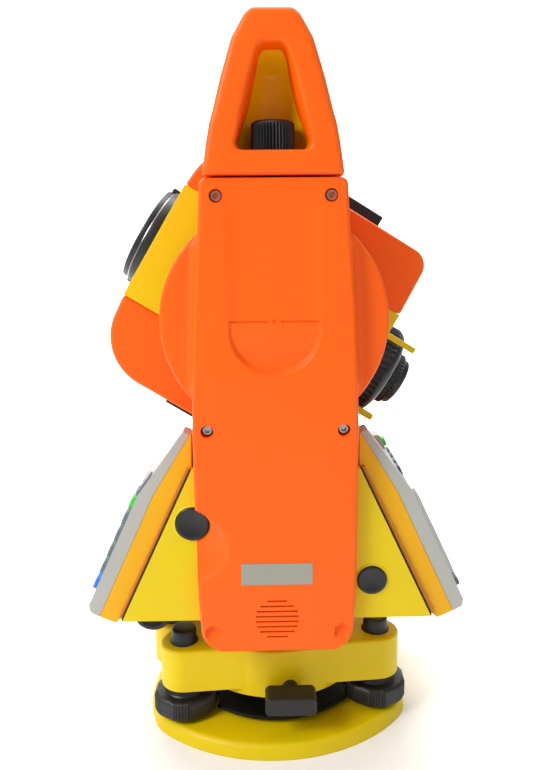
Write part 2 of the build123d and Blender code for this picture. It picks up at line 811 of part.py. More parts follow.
def display_window(side):
    s_middle, w_middle = sum(display_s) / 2, sum(display_w) / 2
    s_size, w_size = display_s[1] - display_s[0], display_w[1] - display_w[0]
    glass = Box(s_size - 2 * window_inset, w_size - 2 * window_inset, window_thickness, align=upright)
    return on_panel(side) * Pos(s_middle, w_middle, display_rise - window_thickness) * glass


# ---- Telescope ----
tilt = radians(elevation)
scope_place = Location(Plane(origin=(0, 0, trunnion_height), x_dir=(-cos(tilt), 0, sin(tilt)),
                             z_dir=(sin(tilt), 0, cos(tilt))))


def scope_outline(upwards):
    """The outline of the upper or lower cover, from its seam outwards."""
    seam, edge = (seam_up, scope_top) if upwards else (seam_down, scope_bottom)
    outline = polygon([(scope_front, seam), (scope_front - 3, edge), (-scope_rear + 2, edge),
                       (-scope_rear, seam)])
    corners = outline.vertices().group_by(Axis.Y)[-1].sort_by(Axis.X)
    outline = fillet([corners[1]], front_corner_radius)
    rear = outline.vertices().group_by(Axis.Y)[-1].sort_by(Axis.X)[0]
    return fillet([rear], rear_corner_radius)


def scope_cover(upwards):
    outline = scope_outline(upwards)
    seam, edge = (seam_up, scope_top) if upwards else (seam_down, scope_bottom)
    cover = slab(outline, -scope_half, scope_half)
    inside = Pos(0, seam + (edge - seam - scope_wall) / 2 - 0.5)
    inside = outline & (inside * Rectangle(2 * (scope_rear - 8), edge - seam - scope_wall + 1))
    cover -= slab(inside, -scope_half + scope_wall, scope_half - scope_wall)
    if not upwards:
        cover = mirror(cover, Plane.XY)
    return scope_place * cover


def telescope_body():
    body = block((-scope_rear, scope_front), (-scope_half, scope_half), (-seam_down, seam_up))
    body += disc_u(sleeve_radius, -scope_rear - sleeve_length, -scope_rear + 1)
    body -= disc_u(tube_radius, -scope_rear + scope_wall + 5, scope_front + 1)
    body -= disc_u(objective_spigot_radius, scope_front - objective_spigot, scope_front + 1)
    body -= disc_u(eyepiece_spigot_radius + running_gap, -scope_rear - sleeve_length - 1, 0)
    for y in (-1, 1):
        for v in (-1, 1):
            low, high = sorted((y * prong_inner, y * scope_half))
            middle = v * prong_height
            body += block((-prong_end, -scope_rear + 1), (low, high),
                          (middle - prong_thickness / 2, middle + prong_thickness / 2))
    return scope_place * body


def objective_ring():
    end = scope_front + objective_length
    ring = disc_u(objective_radius, scope_front, end)
    ring = fillet(ring.edges().group_by(Axis.X)[-1], 1.2)
    ring += disc_u(objective_spigot_radius, scope_front - objective_spigot, scope_front + 1)
    ring -= disc_u(objective_bore, scope_front - objective_spigot - 1, end + 1)
    return scope_place * ring


def objective_lens():
    start = scope_front + 1
    rim = start + lens_thickness
    ball = (objective_bore ** 2 + lens_bulge ** 2) / (2 * lens_bulge)
    edges = [Line((start, 0), (start, objective_bore)),
             Line((start, objective_bore), (rim, objective_bore)),
             RadiusArc((rim, objective_bore), (rim + lens_bulge, 0), ball),
             Line((rim + lens_bulge, 0), (start, 0))]
    return scope_place * revolve(make_face(edges), Axis.X)


def sights():
    bars = []
    for side, base in ((-1, scope_bottom), (1, scope_top)):
        low, high = sorted((side * base, side * (base + sight_height)))
        bar = block((-sight_rear, sight_front), (-sight_half_width, sight_half_width), (low, high))
        groove = (side * (base + sight_height - 2.5), side * (base + sight_height + 1))
        bar -= block((-sight_rear + 8, sight_front - 8), (-1.5, 1.5), sorted(groove))
        bars.append(scope_place * bar)
    return bars


def trunnion_axles():
    axles = []
    for side in (-1, 1):
        low, high = sorted((side * scope_half, side * axle_end))
        axle = disc_y(axle_radius, low, high, 0, trunnion_height)
        low, high = sorted((side * scope_half, side * (scope_half + 3)))
        axles.append(axle + disc_y(axle_flange_radius, low, high, 0, trunnion_height))
    return axles


def trunnion_bearings():
    rings = []
    for side in (-1, 1):
        low, high = sorted((side * bearing_low, side * bearing_high))
        ring = disc_y(bearing_radius, low, high, 0, trunnion_height)
        rings.append(ring - disc_y(axle_radius + running_gap, low - 1, high + 1, 0, trunnion_height))
    return rings


def vertical_circle():
    low = -axle_end + 0.3
    high = low + vertical_circle_thickness
    circle = disc_y(vertical_circle_radius, low, high, 0, trunnion_height)
    return circle - disc_y(axle_radius, low - 1, high + 1, 0, trunnion_height)


def edm_unit():
    return scope_place * block(edm_u, (-edm_half, edm_half), (seam_up, seam_up + edm_height))


def focus_ring():
    start, end = -focus_ring_start - focus_ring_length, -focus_ring_start
    ring = disc_u(focus_ring_radius, start, end)
    ring = fillet(ring.edges().group_by(Axis.X)[0], 3)
    return scope_place * (ring - disc_u(sleeve_radius + running_gap, start - 1, end + 1))


def focus_lens():
    half = focus_lens_width / 2
    cell = disc_u(tube_radius - running_gap, focus_lens_place - half, focus_lens_place + half)
    return scope_place * cell


def eyepiece_ring():
    ring = disc_u(eyepiece_radius, -eyepiece_end, -eyepiece_start)
    ring = fillet(ring.edges().group_by(Axis.X)[0], 1.5)
    ring += disc_u(eyepiece_spigot_radius, -eyepiece_start - 1, -eyepiece_start + eyepiece_spigot)
    ring -= disc_u(eyepiece_bore, -eyepiece_end - 1, -eyepiece_start + eyepiece_spigot + 1)
    return scope_place * ring


def eyepiece_lens():
    middle = (eyepiece_start + eyepiece_end) / 2
    return scope_place * disc_u(eyepiece_bore, -middle - 1.5, -middle + 1.5)


# ---- Motion knobs ----
def knob_pair(x, z, front, back, side):
    """A tangent knob outside a clamp knob on one axis along Y, with nested shafts."""
    split = front - (front - back) * tangent_share
    inner = back - shaft_reach

    def span(radius, near, far):
        low, high = sorted((side * near, side * far))
        return disc_y(radius, low, high, x, z)

    tangent = span(tangent_radius, split + knob_step, front)
    tangent = fillet(tangent.edges(), 0.8)
    tangent += span(tangent_shaft_radius, inner, split + knob_step + 1)
    tangent -= span(1.3, front - 3, front + 1)
    clamp = fillet(span(clamp_radius, back, split).edges(), 0.8)
    clamp += span(clamp_shaft_radius, back - shaft_reach / 2, back + 1)
    clamp -= span(tangent_shaft_radius + running_gap, inner, front)
    return tangent, clamp


# ---- Battery and caps ----
def battery():
    low = cover_face + battery_gap
    pack = block((-battery_half, battery_half), (low, low + battery_depth), (battery_low, battery_high))
    pack = fillet(pack.edges().filter_by(Axis.Y), 6)
    return fillet(pack.edges().group_by(Axis.Y)[-1], 2.5)


def battery_latch():
    low = cover_face - cover_wall + 0.5
    latch = block((-latch_half, latch_half), (low, low + latch_depth),
                  (latch_low, latch_low + latch_height))
    return fillet(latch.edges().filter_by(Axis.Y), 1.5)


def port_cap(x, z, radius):
    cap = disc_y(radius, -body_side - cap_rise, -body_side, x, z)
    return cap + disc_y(radius * plug_share, -body_side - 0.5, -body_side + plug_depth, x, z)


# ---- Everything, written one file to a node ----
save("base_plate", base_plate())
save("spring_plate", spring_plate())
save("tribrach_body", tribrach_body())
group("footscrew_bushes", [footscrew_bush(angle) for angle in footscrew_angles.values()])
group("footscrew_caps", [footscrew_cap(angle) for angle in footscrew_angles.values()])
save("circular_level_housing", circular_level_housing())
save("circular_level_glass", circular_level_glass())
save("base_flange", base_flange())
save("horizontal_circle", horizontal_circle())
save("lock_knob", lock_knob())
save("lock_ring", lock_ring())
for screw_name, screw_angle in footscrew_angles.items():
    save(screw_name, footscrew(screw_angle))

save("alidade_body", alidade_body())
save("vertical_spindle", vertical_spindle())
save("main_board", main_board())
save("plate_level", plate_level())
save("near_side_cover", near_side_cover())
save("far_side_cover", far_side_cover())
group("cover_screws", cover_screws())
save("rating_plate", rating_plate())
save("handle_shell", handle_shell())
save("handle_core", handle_core())
group("trunnion_bearings", trunnion_bearings())
for panel_name, panel_side in (("front", 1), ("rear", -1)):
    save(f"{panel_name}_bezel", bezel(panel_side))
    save(f"{panel_name}_panel", panel(panel_side))
    save(f"{panel_name}_window", display_window(panel_side))
    for key_kind in ("power", "function", "number"):
        key_name = f"{panel_name}_power_key" if key_kind == "power" else f"{panel_name}_{key_kind}_keys"
        group(key_name, keys(key_kind, panel_side, 0, -key_depth, key_rise))
save("handle_screw_near", handle_screw(-1))
save("handle_screw_far", handle_screw(1))

save("telescope_body", telescope_body())
save("telescope_top_cover", scope_cover(True))
save("telescope_bottom_cover", scope_cover(False))
save("objective_ring", objective_ring())
save("objective_lens", objective_lens())
group("sights", sights())
group("trunnion_axles", trunnion_axles())
save("vertical_circle", vertical_circle())
save("edm_unit", edm_unit())
save("focus_ring", focus_ring())
save("focus_lens", focus_lens())
save("eyepiece_ring", eyepiece_ring())
save("eyepiece_lens", eyepiece_lens())

horizontal = knob_pair(*horizontal_knobs, horizontal_front, horizontal_back, -1)
vertical = knob_pair(*vertical_knobs, vertical_front, vertical_back, 1)
save("horizontal_tangent_knob", horizontal[0])
save("horizontal_clamp_knob", horizontal[1])
save("vertical_tangent_knob", vertical[0])
save("vertical_clamp_knob", vertical[1])
save("battery", battery())
save("battery_latch", battery_latch())
for cap_name, cap_place in port_caps.items():
    save(cap_name, port_cap(*cap_place))
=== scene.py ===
import json
import math
import bmesh
import bpy
import numpy as np
from mathutils import Matrix, Vector

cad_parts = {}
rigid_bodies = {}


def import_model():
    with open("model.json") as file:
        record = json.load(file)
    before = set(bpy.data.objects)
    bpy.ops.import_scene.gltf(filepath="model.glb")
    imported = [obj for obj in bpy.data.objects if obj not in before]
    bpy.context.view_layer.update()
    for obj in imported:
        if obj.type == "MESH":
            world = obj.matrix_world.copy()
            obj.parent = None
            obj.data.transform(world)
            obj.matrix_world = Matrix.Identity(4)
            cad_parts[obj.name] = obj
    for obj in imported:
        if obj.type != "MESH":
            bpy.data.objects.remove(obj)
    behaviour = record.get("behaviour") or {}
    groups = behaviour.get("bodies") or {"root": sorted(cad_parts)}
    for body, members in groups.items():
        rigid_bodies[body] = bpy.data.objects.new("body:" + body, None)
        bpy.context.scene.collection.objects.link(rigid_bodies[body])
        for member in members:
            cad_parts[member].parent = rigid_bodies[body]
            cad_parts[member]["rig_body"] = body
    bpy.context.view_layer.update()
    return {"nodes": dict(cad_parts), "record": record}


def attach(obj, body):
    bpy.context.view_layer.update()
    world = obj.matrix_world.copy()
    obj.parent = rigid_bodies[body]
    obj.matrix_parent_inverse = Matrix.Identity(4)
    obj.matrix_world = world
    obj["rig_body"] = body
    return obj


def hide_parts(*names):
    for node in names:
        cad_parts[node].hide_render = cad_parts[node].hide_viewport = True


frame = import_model()
nodes = frame["nodes"]
scene = bpy.context.scene
print("frame loaded,", len(nodes), "nodes")


# ---- small helpers: lengths are in millimetres until a mesh is stored ----
def hexLinear(code):
    parts = [int(code[i:i + 2], 16) / 255 for i in (1, 3, 5)]
    return [c / 12.92 if c <= 0.04045 else ((c + 0.055) / 1.055) ** 2.4 for c in parts] + [1.0]


def addNode(tree, kind, settings=None, links=None):
    made = tree.nodes.new(kind)
    for key, value in (settings or {}).items():
        if key in made.inputs.keys():
            made.inputs[key].default_value = value
        else:
            setattr(made, key, value)
    for key, source in (links or {}).items():
        tree.links.new(source, made.inputs[key])
    return made


cloudSize = 38.0


# Base look: a colour with slight large-scale variation (cloudSize, mm), a fine grain as bump (grainSize and
# grainHeight, mm), and roughness that varies a little with the grain.
def surface(name, colour, roughness, grainSize=0.6, grainHeight=0.02, mottle=0.06, **shader):
    material = bpy.data.materials.new(name)
    material.use_nodes = True
    tree = material.node_tree
    tree.nodes.clear()
    where = addNode(tree, "ShaderNodeTexCoord").outputs["Object"]
    cloud = addNode(tree, "ShaderNodeTexNoise", {"Scale": 1000 / cloudSize, "Detail": 3.0},
                    {"Vector": where})
    grain = addNode(tree, "ShaderNodeTexNoise", {"Scale": 1000 / grainSize, "Detail": 2.0},
                    {"Vector": where})
    base = hexLinear(colour)
    shade = [c * (1 - mottle) for c in base[:3]] + [1.0]
    light = [min(1.0, c * (1 + mottle * 0.4)) for c in base[:3]] + [1.0]
    # sockets 6 and 7 and output 2 are the mix node's colours
    blend = addNode(tree, "ShaderNodeMix", {"data_type": "RGBA"}, {"Factor": cloud.outputs["Fac"]})
    blend.inputs[6].default_value = shade
    blend.inputs[7].default_value = light
    rough = addNode(tree, "ShaderNodeMapRange",
                    {"From Min": 0.3, "From Max": 0.7,
                     "To Min": roughness * 0.9, "To Max": roughness * 1.12},
                    {"Value": grain.outputs["Fac"]})
    bump = addNode(tree, "ShaderNodeBump", {"Strength": 1.0, "Distance": grainHeight * 0.001},
                   {"Height": grain.outputs["Fac"]})
    main = addNode(tree, "ShaderNodeBsdfPrincipled", shader,
                   {"Base Color": blend.outputs[2], "Roughness": rough.outputs["Result"],
                    "Normal": bump.outputs["Normal"]})
    addNode(tree, "ShaderNodeOutputMaterial", None, {"Surface": main.outputs["BSDF"]})
    return material


# Every material of the set, each named for what it is.
dull = {"Specular IOR Level": 0.28}    # painted and moulded skins shine less than the default
mats = {
    # fine-grained moulded plastic of the side covers, handle and telescope covers
    "orangePlastic": surface("orangePlastic", "#FA6000", 0.46, 0.35, 0.012, 0.05, **dull),
    # textured enamel on the die-cast housings
    "yellowEnamel": surface("yellowEnamel", "#DDC000", 0.42, 0.55, 0.03, 0.08, **dull),
    # warmer yellow moulding behind the handle's window
    "yellowPlastic": surface("yellowPlastic", "#EFBC00", 0.4, 0.4, 0.01, 0.08, **dull),
    # amber moulding that frames the keypads
    "amberPlastic": surface("amberPlastic", "#E6A800", 0.42, 0.4, 0.01, 0.05, **dull),
    # light grey keypad housing and battery
    "greyPlastic": surface("greyPlastic", "#ABABA5", 0.5, 0.35, 0.012, 0.05),
    # black moulded knobs and caps
    "blackPlastic": surface("blackPlastic", "#121315", 0.42, 0.35, 0.012, 0.15),
    # black anodised sheet
    "blackMetal": surface("blackMetal", "#141415", 0.38, 0.3, 0.008, 0.1, Metallic=0.6),
    # amber moulding darkened with painted shade, for the bezel's edge that slants away into the joint
    "amberShade": surface("amberShade", "#D07A00", 0.5, 0.4, 0.01, 0.08),
    # machined steel
    "steel": surface("steel", "#B9BABC", 0.28, 0.2, 0.004, 0.05, Metallic=1.0),
    # turned brass
    "brass": surface("brass", "#C49A4A", 0.3, 0.2, 0.004, 0.08, Metallic=1.0),
    # machined aluminium
    "alloy": surface("alloy", "#B4B6B8", 0.36, 0.2, 0.005, 0.05, Metallic=1.0),
    # brushed blank plate
    "label": surface("label", "#9C9C90", 0.38, 0.2, 0.006, 0.1, Metallic=0.7),
    # dark gasket in the joints
    "gasket": surface("gasket", "#191008", 0.7, 0.3, 0.01, 0.1),
    # silicone keys
    "keyGrey": surface("keyGrey", "#66737A", 0.55, 0.3, 0.01, 0.05),
    "keyGreen": surface("keyGreen", "#3FCB45", 0.5, 0.3, 0.01, 0.05),
    "keyBlue": surface("keyBlue", "#2C78DE", 0.5, 0.3, 0.01, 0.05),
    # glass-epoxy board
    "board": surface("board", "#1D5A33", 0.5, 0.4, 0.01, 0.1),
    # reflective display behind its window
    "display": surface("display", "#5F6B60", 0.18, 0.3, 0.0, 0.03, **{"Coat Weight": 0.6}),
    # dark coated optics
    "coatedGlass": surface("coatedGlass", "#0B1A1D", 0.04, 0.3, 0.0, 0.0, **{"Coat Weight": 1.0}),
    # level fluid under its glass
    "levelGlass": surface("levelGlass", "#8FA27E", 0.08, 1.6, 0.0, 0.35, **{"Coat Weight": 1.0}),
}
slotMats = {
    "yellow_casting": "yellowEnamel", "orange_plastic": "orangePlastic", "yellow_plastic": "yellowPlastic",
    "amber_plastic": "amberPlastic", "grey_plastic": "greyPlastic", "black_plastic": "blackPlastic",
    "black_metal": "blackMetal", "steel": "steel", "brass": "brass", "alloy": "alloy",
    "glass": "levelGlass", "coated_glass": "coatedGlass", "display": "display",
    "rubber_grey": "keyGrey", "rubber_green": "keyGreen", "board": "board", "label": "label",
}

print("materials made,", len(mats))


# Stores points (n, 3) in millimetres and faces as a mesh object that rides on a body.
def makePiece(name, points, faces, body, slotName, material, stands=(), sharp=32):
    mesh = bpy.data.meshes.new(name)
    whole = [list(map(int, face)) for face in faces]
    mesh.from_pydata((np.asarray(points, float) * 0.001).tolist(), [], whole)
    tool = bmesh.new()
    tool.from_mesh(mesh)
    bmesh.ops.remove_doubles(tool, verts=tool.verts, dist=1e-7)
    bmesh.ops.recalc_face_normals(tool, faces=tool.faces)
    tool.to_mesh(mesh)
    tool.free()
    mesh.shade_smooth()
    mesh.set_sharp_from_angle(angle=math.radians(sharp))
    piece = bpy.data.objects.new(name, mesh)
    scene.collection.objects.link(piece)
    mesh.materials.append(mats[material])
    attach(piece, body)
    if stands:
        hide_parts(*stands)
    return piece


# Quads between neighbouring rows of a grid of points, closed round its columns or rows where asked.
def gridFaces(rows, columns, closeColumns=False, closeRows=False, start=0):
    r, c = np.meshgrid(np.arange(rows if closeRows else rows - 1),
                       np.arange(columns if closeColumns else columns - 1), indexing="ij")
    rNext, cNext = (r + 1) % rows, (c + 1) % columns
    quads = np.stack([r * columns + c, r * columns + cNext,
                      rNext * columns + cNext, rNext * columns + c], -1)
    return (quads.reshape(-1, 4) + start).tolist()


# A frame of three directions at an origin: points come in as (along, right, up).
def frameAt(origin, along, right):
    along = np.array(along, float) / np.linalg.norm(along)
    right = np.array(right, float)
    right = right - along * (right @ along)
    right /= np.linalg.norm(right)
    return np.array(origin, float), along, right, np.cross(along, right)


def placed(place, a, b, c):
    origin, along, right, up = place
    a, b, c = np.broadcast_arrays(a, b, c)
    return origin + a[..., None] * along + b[..., None] * right + c[..., None] * up


# A turned part: rows of (along, radius) carried round the axis; ripple(angle, along) scales the radius.
def turnedPart(profile, place, segments=96, ripple=None):
    profile = np.array(profile, float)
    angle = np.arange(segments) * 2 * np.pi / segments
    inner = profile[profile[:, 1] > 0]
    a = inner[:, 0][:, None] + 0 * angle[None]
    r = inner[:, 1][:, None] + 0 * angle[None]
    if ripple is not None:
        r = r * ripple(angle[None] + 0 * a, a, r)
    points = placed(place, a, r * np.cos(angle), r * np.sin(angle)).reshape(-1, 3)
    faces = gridFaces(len(inner), segments, closeColumns=True)
    for row, end in ((0, profile[0]), (len(inner) - 1, profile[-1])):
        if end[1] <= 0:
            pole = placed(place, np.array(end[0]), np.array(0.0), np.array(0.0)).reshape(1, 3)
            points = np.vstack([points, pole])
            around = row * segments + np.arange(segments)
            ahead = np.roll(around, -1)
            faces += [[int(a), int(b), len(points) - 1] for a, b in zip(around, ahead)]
    return points, faces


# Rounds a polygon's corners: each corner becomes an arc of its own radius.
def roundOutline(corners, radii, steps=8):
    corners = np.array(corners, float)
    radii = np.broadcast_to(np.array(radii, float), len(corners))
    points = []
    for i, corner in enumerate(corners):
        before = corners[i - 1] - corner
        after = corners[(i + 1) % len(corners)] - corner
        before, after = before / np.linalg.norm(before), after / np.linalg.norm(after)
        half = math.acos(max(-1, min(1, before @ after))) / 2
        reach = radii[i] / math.tan(half) if radii[i] > 0 else 0
        if reach == 0:
            points.append(corner)
            continue
        t = np.linspace(0, 1, steps + 1)[:, None]
        start, end = corner + before * reach, corner + after * reach
        middle = (before + after) / np.linalg.norm(before + after)
        centre = corner + middle * radii[i] / math.sin(half)
        turn = math.pi - 2 * half
        a, b = start - centre, end - centre
        points += list(centre + (np.sin((1 - t) * turn) * a + np.sin(t * turn) * b) / math.sin(turn))
    return np.array(points)


# Draws an outline inwards by a distance, along the mean of each point's two edge normals.
def insetOutline(outline, inset):
    following = np.roll(outline, -1, 0)
    ahead = following - outline
    ahead /= np.maximum(np.linalg.norm(ahead, axis=1, keepdims=True), 1e-9)
    behind = np.roll(ahead, 1, 0)
    area = np.sum(outline[:, 0] * following[:, 1] - following[:, 0] * outline[:, 1])
    way = 1.0 if area > 0 else -1.0
    normal = way * np.stack([-(ahead + behind)[:, 1], (ahead + behind)[:, 0]], 1)
    length = np.linalg.norm(normal, axis=1, keepdims=True)
    normal /= np.maximum(length, 1e-9)
    stretch = 2 / np.maximum(length, 0.7)
    return outline + normal * inset * stretch


# A plate: the outline in (right, up) carried along, each section (along, inset), closed at both ends.
def plateAlong(outline, sections, place):
    rings = np.array([np.c_[np.full(len(outline), along), insetOutline(outline, inset)]
                      for along, inset in sections])
    points = placed(place, rings[..., 0], rings[..., 1], rings[..., 2]).reshape(-1, 3)
    count = len(outline)
    faces = gridFaces(len(sections), count, closeColumns=True)
    faces.append(list(range(count))[::-1])
    faces.append(list(range((len(sections) - 1) * count, len(sections) * count)))
    return points, faces


# Sections of a plate from low to high whose two edges are rounded by radii.
def roundedSections(low, high, lowRadius, highRadius, steps=4):
    t = np.linspace(0, np.pi / 2, steps + 1)
    start = [(low + lowRadius * (1 - math.sin(a)), lowRadius * (1 - math.cos(a))) for a in t[::-1]]
    end = [(high - highRadius * (1 - math.sin(a)), highRadius * (1 - math.cos(a))) for a in t]
    return start + end


# A copy of a CAD node with its flat faces joined and its edges rounded. draft (low, high, inset, bore) moves
# points outside the bore towards the axis, by a share of inset that grows from low to high.
def roundedCopy(node, material, width, segments=3, angle=32, draft=None):
    source = nodes[node]
    mesh = source.data.copy()
    mesh.name = node + "Round"
    tool = bmesh.new()
    tool.from_mesh(mesh)
    bmesh.ops.remove_doubles(tool, verts=tool.verts, dist=2e-6)
    bmesh.ops.dissolve_limit(tool, angle_limit=math.radians(0.8), verts=tool.verts, edges=tool.edges)
    bmesh.ops.recalc_face_normals(tool, faces=tool.faces)
    if draft:
        low, high, inset, bore = draft
        for corner in tool.verts:
            away = math.hypot(corner.co.x, corner.co.y) * 1000
            if away > bore:
                share = min(1, max(0, (corner.co.z * 1000 - low) / (high - low)))
                corner.co.x *= 1 - share * inset / away
                corner.co.y *= 1 - share * inset / away
    tool.to_mesh(mesh)
    tool.free()
    mesh.materials.clear()
    mesh.materials.append(mats[material])
    mesh.shade_smooth()
    mesh.set_sharp_from_angle(angle=math.radians(angle))
    piece = bpy.data.objects.new(node + "Round", mesh)
    scene.collection.objects.link(piece)
    bevel = piece.modifiers.new("edges", "BEVEL")
    bevel.width = width * 0.001
    bevel.segments = segments
    bevel.limit_method = "ANGLE"
    bevel.angle_limit = math.radians(angle)
    bevel.harden_normals = True
    bevel.miter_outer = "MITER_ARC"
    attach(piece, source["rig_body"])
    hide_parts(node)
    return piece


# ---- CAD nodes that keep their own mesh ----
nodeSlots = {row["node"]: row["material_slot"] for row in frame["record"]["subparts"]}
for name, thing in nodes.items():
    thing.data.materials.clear()
    thing.data.materials.append(mats[slotMats.get(nodeSlots.get(name, "steel"), "steel")])
    thing.data.shade_smooth()
    thing.data.set_sharp_from_angle(angle=math.radians(32))
print("kept nodes given materials")

roundWidths = {
    "alidade_body": 2.2, "base_plate": 1.2, "tribrach_body": 1.0, "front_bezel": 1.0, "rear_bezel": 1.0,
    "front_panel": 1.2, "rear_panel": 1.2, "telescope_body": 1.2, "battery": 1.0,
    "battery_latch": 0.6, "lock_knob": 0.8, "sights": 0.7, "spring_plate": 0.3, "base_flange": 0.5,
    "circular_level_housing": 0.5, "telescope_top_cover": 1.8, "telescope_bottom_cover": 1.8,
}
for name, width in roundWidths.items():
    draft = (0, 7, 2.6, 40) if name == "base_plate" else None
    roundedCopy(name, slotMats[nodeSlots[name]], width, draft=draft)
print("rounded copies made,", len(roundWidths))


# Joins several (points, faces) into one.
def joined(*parts):
    points, faces = [], []
    for pts, fcs in parts:
        faces += [[int(i) + len(points) for i in f] for f in fcs]
        points += np.asarray(pts).tolist()
    return points, faces


def ring(profile, place, segments=144, ripple=None):
    return turnedPart(profile + [profile[0]], place, segments, ripple)


# A small block with rounded edges, given by low and high along, right and up in a frame.
def pad(place, a, b, c, radius, edge):
    box = roundOutline([(b[0], c[0]), (b[1], c[0]), (b[1], c[1]), (b[0], c[1])], radius, 6)
    return plateAlong(box, roundedSections(a[0], a[1], edge, edge), place)


# ---- side covers ----
# One height surface each: every row is a section at height z, from the middle of the face over the slab's
# rounded edge, down its wall, out over the disc behind it and back along the side.
cover = {
    "face": 68.0, "low": 59.3, "high": 282.5, "edge": 1.7,
    "footRadius": 11.0, "headRadius": 3.0,
    "discRadius": 52.5, "discHeight": 219.5, "discFace": 60.0, "discEdge": 1.6, "fillet": 4.5,
    "bodySide": 60.8, "bodyLow": 73.6, "bodyHigh": 150.2, "back": 37.0, "hem": 52.2, "lip": 3.0,
    "sheet": 40.3,
    "heights": [59, 66, 87, 110, 147, 171, 185, 230, 260, 277, 283],
    "halves": [35.4, 36.6, 37.7, 38.1, 38.25, 38.3, 37.8, 35.7, 33.3, 32.4, 32.1],
    "dish": (-40.0, 113.0, 17.5, 5.0), "port": (-40.0, 123.7, 8.7),
    "screws": [(25.0, 275.0, 2.2), (31.5, 170.3, 6.4)], "bore": 3.3,
    "grille": (76.8, 10.4, 2.65, 0.36, 3.4),
    "panel": (20.5, 196.5, 0.8, 1.7), "mark": (220.5, 3.0, 20.0, 0.5),
    "leaf": (31.2, 69.6, 3.6, 3.8, 3.2),
}


# Half width of the slab at height z: the table of widths, rounded off at its lower and upper corners.
def slabHalf(z):
    half = np.interp(z, cover["heights"], cover["halves"])
    for r, away in ((cover["footRadius"], z - cover["low"]), (cover["headRadius"], cover["high"] - z)):
        half = half - r + np.sqrt(np.clip(r * r - np.clip(r - away, 0, r) ** 2, 0, None))
    return half


def smooth(value, low, high):
    t = np.clip((value - low) / (high - low), 0, 1)
    return t * t * (3 - 2 * t)


# Depth of everything sunk into the face, in millimetres behind it, at (x, z).
def coverDepth(x, z, near):
    depth = np.zeros_like(x)
    side, high, deep, scoop = cover["panel"]
    low = high + side
    away = np.where(z > low, np.abs(x) - side, np.hypot(x, z - low) - side)
    fade = 1 - smooth(z, 262, 280)
    wide = 1 - smooth(away, -4.0, 2.0)
    depth = np.maximum(depth, deep * wide * fade)
    scooped = (deep + scoop * smooth(220.0 - z, 0, 20)) * (1 - smooth(away, -1.4, 0.6))
    depth = np.where(z < 220.5, np.maximum(scooped, 0), depth)
    for sx, sz, bore in cover["screws"]:
        hole = bore * (np.hypot(np.abs(x) - sx, z - sz) < cover["bore"])
        depth = np.maximum(depth, hole)
    lx, lz, lw, lh, ld = cover["leaf"]
    u, v = (np.abs(x) - lx) / lw, (z - lz) / lh
    leaf = np.clip(1 - (u * u + v * v), 0, 1) ** 0.35 * (0.62 + 0.38 * np.clip(v, -1, 1))
    depth = np.maximum(depth, ld * leaf)
    if near:
        gz, gr, pitch, thick, deep = cover["grille"]
        row = np.round((z - gz) / pitch - 0.5) + 0.5
        inSlot = (np.abs(z - gz - row * pitch) < thick) & (np.hypot(x, row * pitch) < gr)
        inSlot &= np.abs(row) < 4
        depth = np.where(inSlot, deep, depth)
        mz, near1, far1, deep = cover["mark"]
        line = (np.abs(z - mz) < 0.5) & (np.abs(x) > near1) & (np.abs(x) < far1)
        dot = np.hypot(x, z - mz) < 0.9
        depth = depth + deep * (line | dot)
        px, pz, pr, deep = cover["dish"]
        ball = (pr * pr + deep * deep) / (2 * deep)
        sphere = np.sqrt(np.clip(ball ** 2 - (x - px) ** 2 - (z - pz) ** 2, 0, None))
        depth = np.maximum(depth, deep - ball + sphere)
    return depth


# Heights of the surface's rows: close together at its ends, at the slots and at the mark.
def coverRows():
    rows = [np.arange(59.3, 62.6, 0.25), np.arange(62.8, 65.8, 0.5), np.arange(88.2, 282.5, 0.75),
            [149.95, 150.2, 150.5, 281.5, 281.9, 282.2, 282.4, 282.5]]
    gz, pitch, thick = cover["grille"][0], cover["grille"][2], cover["grille"][3]
    across = np.array([-thick - 0.06, -thick + 0.04, 0, thick - 0.04, thick + 0.06])
    for row in np.arange(-3.5, 4):
        rows.append(gz + row * pitch + across)
        rows.append([gz + row * pitch + pitch / 2])
    rows.append(np.arange(219.7, 221.31, 0.1))
    return np.unique(np.round(np.concatenate(rows), 3))


